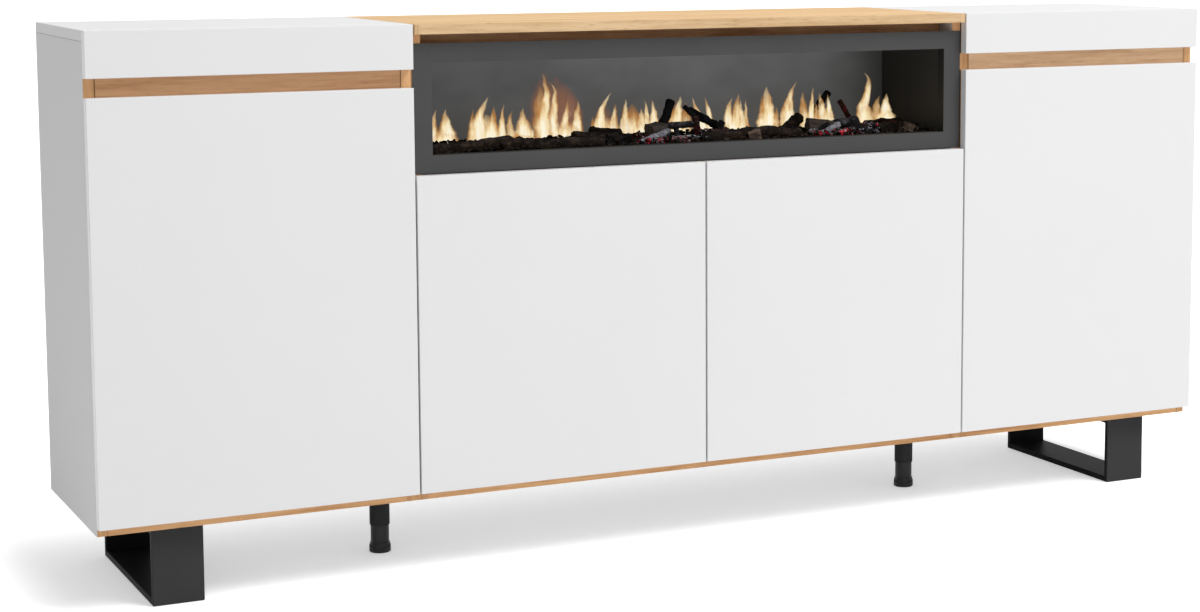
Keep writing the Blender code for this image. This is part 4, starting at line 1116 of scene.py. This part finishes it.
def bed_finishes(settings):
    """Materials of the ember bed by kind."""
    glow, power = settings.ember_glow, settings.ember_power
    return {
        "bark": charred("charred_bark", (0.0045, 0.0032, 0.0025), (0.026, 0.015, 0.008), 0.03),
        "black": charred("burnt_stick", (0.004, 0.004, 0.004), (0.014, 0.013, 0.013), 0.03),
        "grey": charred("ashen_log", (0.012, 0.011, 0.012), (0.055, 0.050, 0.056), 0.35),
        "twig": charred(
            "ember_twig", (0.010, 0.006, 0.005), (0.075, 0.034, 0.026), 0.12, 150.0, glow, 0.035
        ),
        "split": sawn_face("split_wood", (0.130, 0.100, 0.085), (0.045, 0.032, 0.026)),
        "sawn": sawn_face("sawn_end", (0.150, 0.100, 0.068), (0.050, 0.030, 0.020)),
        "straw": charred(
            "dry_bark_shreds", (0.020, 0.010, 0.006), (0.120, 0.055, 0.035), 0.15, 200.0, glow, 0.05
        ),
        "ember": charred(
            "glowing_charcoal", (0.008, 0.005, 0.005), (0.045, 0.032, 0.034), 0.8, 130.0, glow, power
        ),
        "ash": charred("white_ash", (0.15, 0.15, 0.17), (0.34, 0.33, 0.37), 0.8),
    }


def heads_on(name, tree, body, kind, spots):
    """Round heads of one kind on a body at (place, facing) spots."""
    places, facings = zip(*spots)
    values = dict(zip(("radius", "height", "crown", "recess", "material"), kind))
    points = points_mesh(name, places, vectors={"facing": facings})
    settle(tree.bake(name, points, **values), body, "nickel")


class FrontsOperator(bpy.types.Operator):
    """Finishes the doors and fascias in satin white"""

    bl_idname = "sideboard.fronts"
    bl_label = "Fronts"

    def execute(self, context):
        settings = context.scene.sideboard_boards
        satin = {"roughness": settings.satin, "gloss": settings.front_gloss}
        for name, nodes in (("front", DOORS), ("fascia", ("left_fascia", "right_fascia"))):
            paint(coated(f"satin_white_{name}", "foil", settings.front_white, **satin), *nodes)
        return {"FINISHED"}


class CarcassOperator(bpy.types.Operator):
    """Finishes the cabinet boards in white with oak edging, and the thin backs"""

    bl_idname = "sideboard.carcass"
    bl_label = "Carcass"

    def execute(self, context):
        settings = context.scene.sideboard_boards
        upright = edged_board("upright_board", settings, "Z")
        sides = ("left_outer_side", "left_inner_side", "right_outer_side", "right_inner_side")
        paint(upright, *sides, "centre_left_side", "centre_right_side")
        level = edged_board("level_board", settings, "X")
        paint(level, "left_bottom", "right_bottom", "centre_bottom", "fire_deck")
        dull = {"roughness": settings.satin, "gloss": settings.board_gloss}
        white = coated("white_melamine", "foil", settings.top_white, **dull)
        paint(white, "left_top", "right_top", "left_shelf", "right_shelf", "centre_shelf")
        for node in ("left_back", "right_back", "centre_back"):
            paint(back_board(settings, node), node)
        return {"FINISHED"}


class OakOperator(bpy.types.Operator):
    """Finishes the oak top, the grip rails and the dark rail behind the slot"""

    bl_idname = "sideboard.oak"
    bl_label = "Oak"

    def execute(self, context):
        settings = context.scene.sideboard_boards
        paint(oak_top(settings), "centre_top")
        # Painted shade and light: the left rail takes the darker oak tone and the right rail the lighter
        # one
        left, right = (
            (light, tuple(share * tone for share, tone in zip(RAIL_STREAK, light)))
            for light in (settings.left_rail_oak, settings.right_rail_oak)
        )
        for name, node, light, dark in (
            ("left_grip_rail_oak", "left_grip_rail", *left),
            ("right_grip_rail_oak", "right_grip_rail", *right),
            ("slot_rail_oak", "centre_vent_rail", settings.slot_oak, settings.slot_oak_streak),
        ):
            paint(oak_rail(name, node, light, dark, settings.oak_pore), node)
        return {"FINISHED"}


class SteelworkOperator(bpy.types.Operator):
    """Coats the legs and feet black and knurls the feet"""

    bl_idname = "sideboard.steelwork"
    bl_label = "Steelwork"

    def execute(self, context):
        settings = context.scene.sideboard_steel
        coat = coated("black_powder_coat", "powder", settings.black_coat, 0.45, gloss=0.03)
        paint(coat, "left_foot_sleeve", "right_foot_sleeve")
        # Painted shade: the legs' faces behind their front take the near-black tone
        behind = (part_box("left_sled_leg")[0].y, settings.leg_inside)
        coat = coated("leg_coat", "powder", settings.leg_front, 0.45, behind, gloss=0.03)
        paint(coat, "left_sled_leg", "right_sled_leg")
        plastic = coated("foot_plastic", "plastic", settings.foot_plastic, 0.38, gloss=0.3)
        paint(plastic, "left_foot_adjuster", "right_foot_adjuster")
        tree = rib_tree()
        pitch = settings.rib_height * RIB_PITCH
        for word in ("left", "right"):
            node = f"{word}_foot_adjuster"
            low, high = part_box(node)
            centre = (low + high) / 2
            places = [(centre.x, centre.y, low.z + FIRST_RIB + row * pitch) for row in range(RIB_ROWS)]
            ribs = tree.bake(
                f"{word}_foot_ribs",
                points_mesh("rib_rows", places),
                count=settings.rib_count,
                radius=(high.x - low.x) / 2 - settings.rib_inset,
                rib_height=settings.rib_height,
                rib_width=settings.rib_width,
                material=plastic,
            )
            settle(ribs, node, "black_steel")
        return {"FINISHED"}


class CasingOperator(bpy.types.Operator):
    """Finishes the bezel, the housing and the works of the electric fire"""

    bl_idname = "sideboard.casing"
    bl_label = "Fire Casing"

    def execute(self, context):
        steel = context.scene.sideboard_steel
        # Painted shade: the bezel's faces behind its front take the darker tone
        behind = (BEZEL_LOW.y, steel.stove_black)
        bezel = coated("anthracite_coat", "powder", steel.anthracite, 0.50, behind, gloss=0.2)
        paint(bezel, "fire_bezel")
        housing = coated("housing_coat", "coarse powder", steel.housing_grey, 0.60, gloss=0.15)
        paint(housing, "fire_housing")
        paint(smoked_screen(context.scene.sideboard_fire), "flame_screen")
        for node, name, coat, colour, roughness, more in (
            ("flame_rotor", "mirror_foil", "metal", (0.85, 0.85, 0.83), 0.18, {"metallic": 1.0}),
            ("rotor_motor", "motor_plastic", "plastic", (0.28, 0.28, 0.29), 0.45, {}),
            ("led_bar", "lamp_strip", "plastic", (0.80, 0.78, 0.70), 0.45, {}),
            ("mains_inlet", "inlet_plastic", "plastic", (0.022, 0.022, 0.024), 0.45, {}),
        ):
            paint(coated(name, coat, colour, roughness, **more), node)
        return {"FINISHED"}


class EmberBedOperator(bpy.types.Operator):
    """Builds the bark slab, logs, sticks, chips, ash and embers"""

    bl_idname = "sideboard.ember_bed"
    bl_label = "Ember Bed"

    def execute(self, context):
        looks = bed_finishes(context.scene.sideboard_fire)
        slab = bark_slab(looks["bark"])
        settle(slab, BODY, "charred_logs", "ember_bed")
        kinds = ("bark", "black", "grey", "twig", "split", "sawn", "ash")
        shape = bmesh.new()
        for start, end, radius, kind, seed in LOG_SHARES:
            add_log(shape, in_bed(*start), in_bed(*end), radius, seed, kinds.index(kind))
        for centre, size, degrees, kind in CHUNK_SHARES:
            add_chunk(shape, in_bed(*centre), size, degrees, kinds.index(kind))
        logs = mesh_object("charred_logs", shape, *[looks[kind] for kind in kinds])
        settle(logs, BODY, "charred_logs")
        tree = scatter_tree()
        for number, row in enumerate(PATCH_SHARES):
            along, over, wide, deep, density, chip, tilt, crumple, lift, seed, kind = row
            name = f"{kind}_pieces_{number}"
            pieces = tree.bake(
                name,
                points_mesh(name, [(0, 0, 0)]),
                patch_size=(wide * OPENING_HALF, deep * BED_DEPTH, 0.0),
                patch_centre=in_bed(along, over, 0.0),
                density=density,
                chip_size=chip,
                tilt=tilt,
                crumple=crumple,
                lift=lift,
                seed=seed,
                material=looks[kind],
            )
            settle(pieces, BODY, "charred_logs")
        return {"FINISHED"}


class FlamesOperator(bpy.types.Operator):
    """Draws the flame tongues in front of the screen"""

    bl_idname = "sideboard.flames"
    bl_label = "Flames"

    def execute(self, context):
        fire = context.scene.sideboard_fire
        power = fire.flame_power
        bright = flame_finish("flame", fire.flame_core, fire.flame_edge, power, fire.flame_cover)
        faint = flame_finish("flame_haze", fire.haze_core, fire.haze_edge, power, fire.haze_cover)
        tree = flame_tree()
        keys = ("half_width", "height", "bend_1", "bend_2", "bend_3", "fullness", "amber", "phase")
        for name, table, look, behind, thickness in (
            ("flame_tongues", FLAME_SHARES, bright, 0.0, fire.flame_thickness),
            ("flame_haze", HAZE_SHARES, faint, fire.haze_gap, fire.haze_thickness),
        ):
            places, rows = [], []
            for index, (along, half, tall, low, middle, top, full, amber, row) in enumerate(table):
                place = in_bed(along, *FLAME_ROW_PLACES[row])
                place.y += behind - FLAME_STAGGER * (index % FLAME_LAYERS)
                places.append(place)
                size = (FLAME_BREADTH * half * OPENING_HALF, tall * OPENING_HEIGHT)
                rows.append((*size, *bend_terms(low, middle, top), full, amber, FLAME_PHASE * index))
            points = points_mesh(name, places, dict(zip(keys, zip(*rows))))
            settle(tree.bake(name, points, thickness=thickness, material=look), BODY, "smoked_screen")
        return {"FINISHED"}


class FittingsOperator(bpy.types.Operator):
    """Finishes the hinges and latches, and adds screws, cams and shelf pins"""

    bl_idname = "sideboard.fittings"
    bl_label = "Fittings"

    def execute(self, context):
        settings = context.scene.sideboard_fittings
        nickel = coated("nickel_plate", "metal", (0.70, 0.69, 0.67), 0.30, metallic=1.0)
        zinc = coated("zinc_screw", "metal", (0.70, 0.70, 0.68), 0.34, metallic=1.0)
        cups = {door: [f"{door}_{end}_hinge_cup" for end in ("upper", "lower")] for door in DOORS}
        arms = [f"{door}_{end}_hinge_arm" for door in DOORS for end in ("upper", "lower")]
        paint(nickel, *sum(cups.values(), []), *arms)
        latches = coated("latch_plastic", "plastic", (0.32, 0.32, 0.33), 0.45)
        paint(latches, "centre_left_push_latch", "centre_right_push_latch")
        tree = head_tree()
        screw = (settings.screw_radius, settings.screw_height, 0.62, settings.screw_height * 0.7, zinc)
        cam = (settings.cam_radius, 0.0006, 0.94, 0.0004, zinc)
        pin = (settings.pin_radius, settings.pin_length, 0.9, 0.0005, nickel)
        for door, pair in cups.items():
            spots = []
            for cup in pair:
                low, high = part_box(cup)
                centre = (low + high) / 2
                for way in (-1, 1):
                    place = Vector((centre.x, high.y - HEAD_SUNK, centre.z + way * CUP_SCREW))
                    spots.append((place, (0, 1, 0)))
            heads_on(f"{door}_hinge_screws", tree, door, screw, spots)
        spots = []
        for arm in arms:
            low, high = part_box(arm)
            inwards = 1 if low.x < 0 and abs(low.x) > abs(high.x) else -1
            x = (high.x if inwards > 0 else low.x) - inwards * HEAD_SUNK
            z = (low.z + high.z) / 2
            for setback in ARM_SCREWS:
                spots.append((Vector((x, CARCASS_FRONT + setback, z)), (inwards, 0, 0)))
        heads_on("hinge_arm_screws", tree, BODY, screw, spots)
        spots = []
        bottoms = ("left_bottom", "right_bottom", "centre_bottom")
        for board in (*bottoms, "left_top", "right_top", "centre_top"):
            low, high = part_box(board)
            for x in (low.x + CAM_SIDE, high.x - CAM_SIDE):
                for y in (low.y + CAM_FRONT, high.y - CAM_BACK):
                    spots.append((Vector((x, y, low.z - FITTING_AIR)), (0, 0, -1)))
        heads_on("cam_locks", tree, BODY, cam, spots)
        spots = []
        for shelf in ("left_shelf", "right_shelf", "centre_shelf"):
            low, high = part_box(shelf)
            z = low.z - settings.pin_radius - FITTING_AIR
            for x, way in ((low.x, 1), (high.x, -1)):
                for y in (low.y + PIN_INSET, high.y - PIN_INSET):
                    spots.append((Vector((x, y, z)), (way, 0, 0)))
        heads_on("shelf_pins", tree, BODY, pin, spots)
        return {"FINISHED"}


class StageOperator(bpy.types.Operator):
    """Sets the pale floor, the soft light and the camera"""

    bl_idname = "sideboard.stage"
    bl_label = "Stage"

    def execute(self, context):
        scene = context.scene
        settings = scene.sideboard_stage
        shape = bmesh.new()
        bmesh.ops.create_grid(shape, x_segments=1, y_segments=1, size=settings.floor_half)
        floor = mesh_object("floor", shape, pale_floor(settings))
        floor.location.z = CAD_LOW.z - settings.floor_drop
        world = bpy.data.worlds.new("studio")
        scene.world = world
        world.use_nodes = True
        sky = Tree(world.node_tree)
        world.node_tree.nodes.clear()
        strength = sky.background_rays() * (1.0 - settings.sky) + settings.sky
        light = sky.make("ShaderNodeBackground", {"Color": WHITE_LIGHT, "Strength": strength})
        sky.add("ShaderNodeOutputWorld", {"Surface": light})
        data = bpy.data.lights.new("key", "AREA")
        data.energy, data.size = settings.lamp_power, settings.lamp_size
        lamp = placed("key", data)
        lamp.location = settings.lamp_place
        towards = (CAD_LOW + CAD_HIGH) / 2 - Vector(settings.lamp_place)
        lamp.rotation_euler = towards.to_track_quat("-Z", "Y").to_euler()
        data = bpy.data.cameras.new("camera")
        data.lens = settings.lens
        data.shift_x, data.shift_y = settings.shift_x, settings.shift_y
        camera = placed("camera", data)
        camera.location = settings.eye
        camera.rotation_euler = (math.pi / 2 - settings.pitch, 0, -settings.yaw)
        scene.camera = camera
        scene.view_settings.view_transform = "Standard"
        return {"FINISHED"}


GROUPS = {
    "sideboard_boards": BoardSettings,
    "sideboard_steel": SteelSettings,
    "sideboard_fire": FireSettings,
    "sideboard_fittings": FittingSettings,
    "sideboard_stage": StageSettings,
}
OPERATORS = (
    FrontsOperator,
    CarcassOperator,
    OakOperator,
    SteelworkOperator,
    CasingOperator,
    EmberBedOperator,
    FlamesOperator,
    FittingsOperator,
    StageOperator,
)


class SideboardPanel(bpy.types.Panel):
    """Lists the settings and the steps"""

    bl_idname = "VIEW3D_PT_sideboard"
    bl_label = "Sideboard"
    bl_space_type = "VIEW_3D"
    bl_region_type = "UI"
    bl_category = "Sideboard"

    def draw(self, context):
        for group in GROUPS:
            box = self.layout.box()
            settings = getattr(context.scene, group)
            for name in settings.__annotations__:
                box.prop(settings, name)
        for operator in OPERATORS:
            self.layout.operator(operator.bl_idname)


def register():
    """Registers the settings, the operators and the panel."""
    for name, group in GROUPS.items():
        bpy.utils.register_class(group)
        setattr(bpy.types.Scene, name, PointerProperty(type=group))
    for made in (*OPERATORS, SideboardPanel):
        bpy.utils.register_class(made)


def unregister():
    """Takes everything out again."""
    for made in reversed((*OPERATORS, SideboardPanel)):
        bpy.utils.unregister_class(made)
    for name, group in reversed(GROUPS.items()):
        delattr(bpy.types.Scene, name)
        bpy.utils.unregister_class(group)


def main():
    """Makes everything in order and writes both boxes."""
    register()
    bpy.ops.sideboard.fronts()
    bpy.ops.sideboard.carcass()
    bpy.ops.sideboard.oak()
    bpy.ops.sideboard.steelwork()
    bpy.ops.sideboard.casing()
    bpy.ops.sideboard.ember_bed()
    bpy.ops.sideboard.flames()
    bpy.ops.sideboard.fittings()
    bpy.ops.sideboard.stage()


if __name__ == "__main__":
    main()
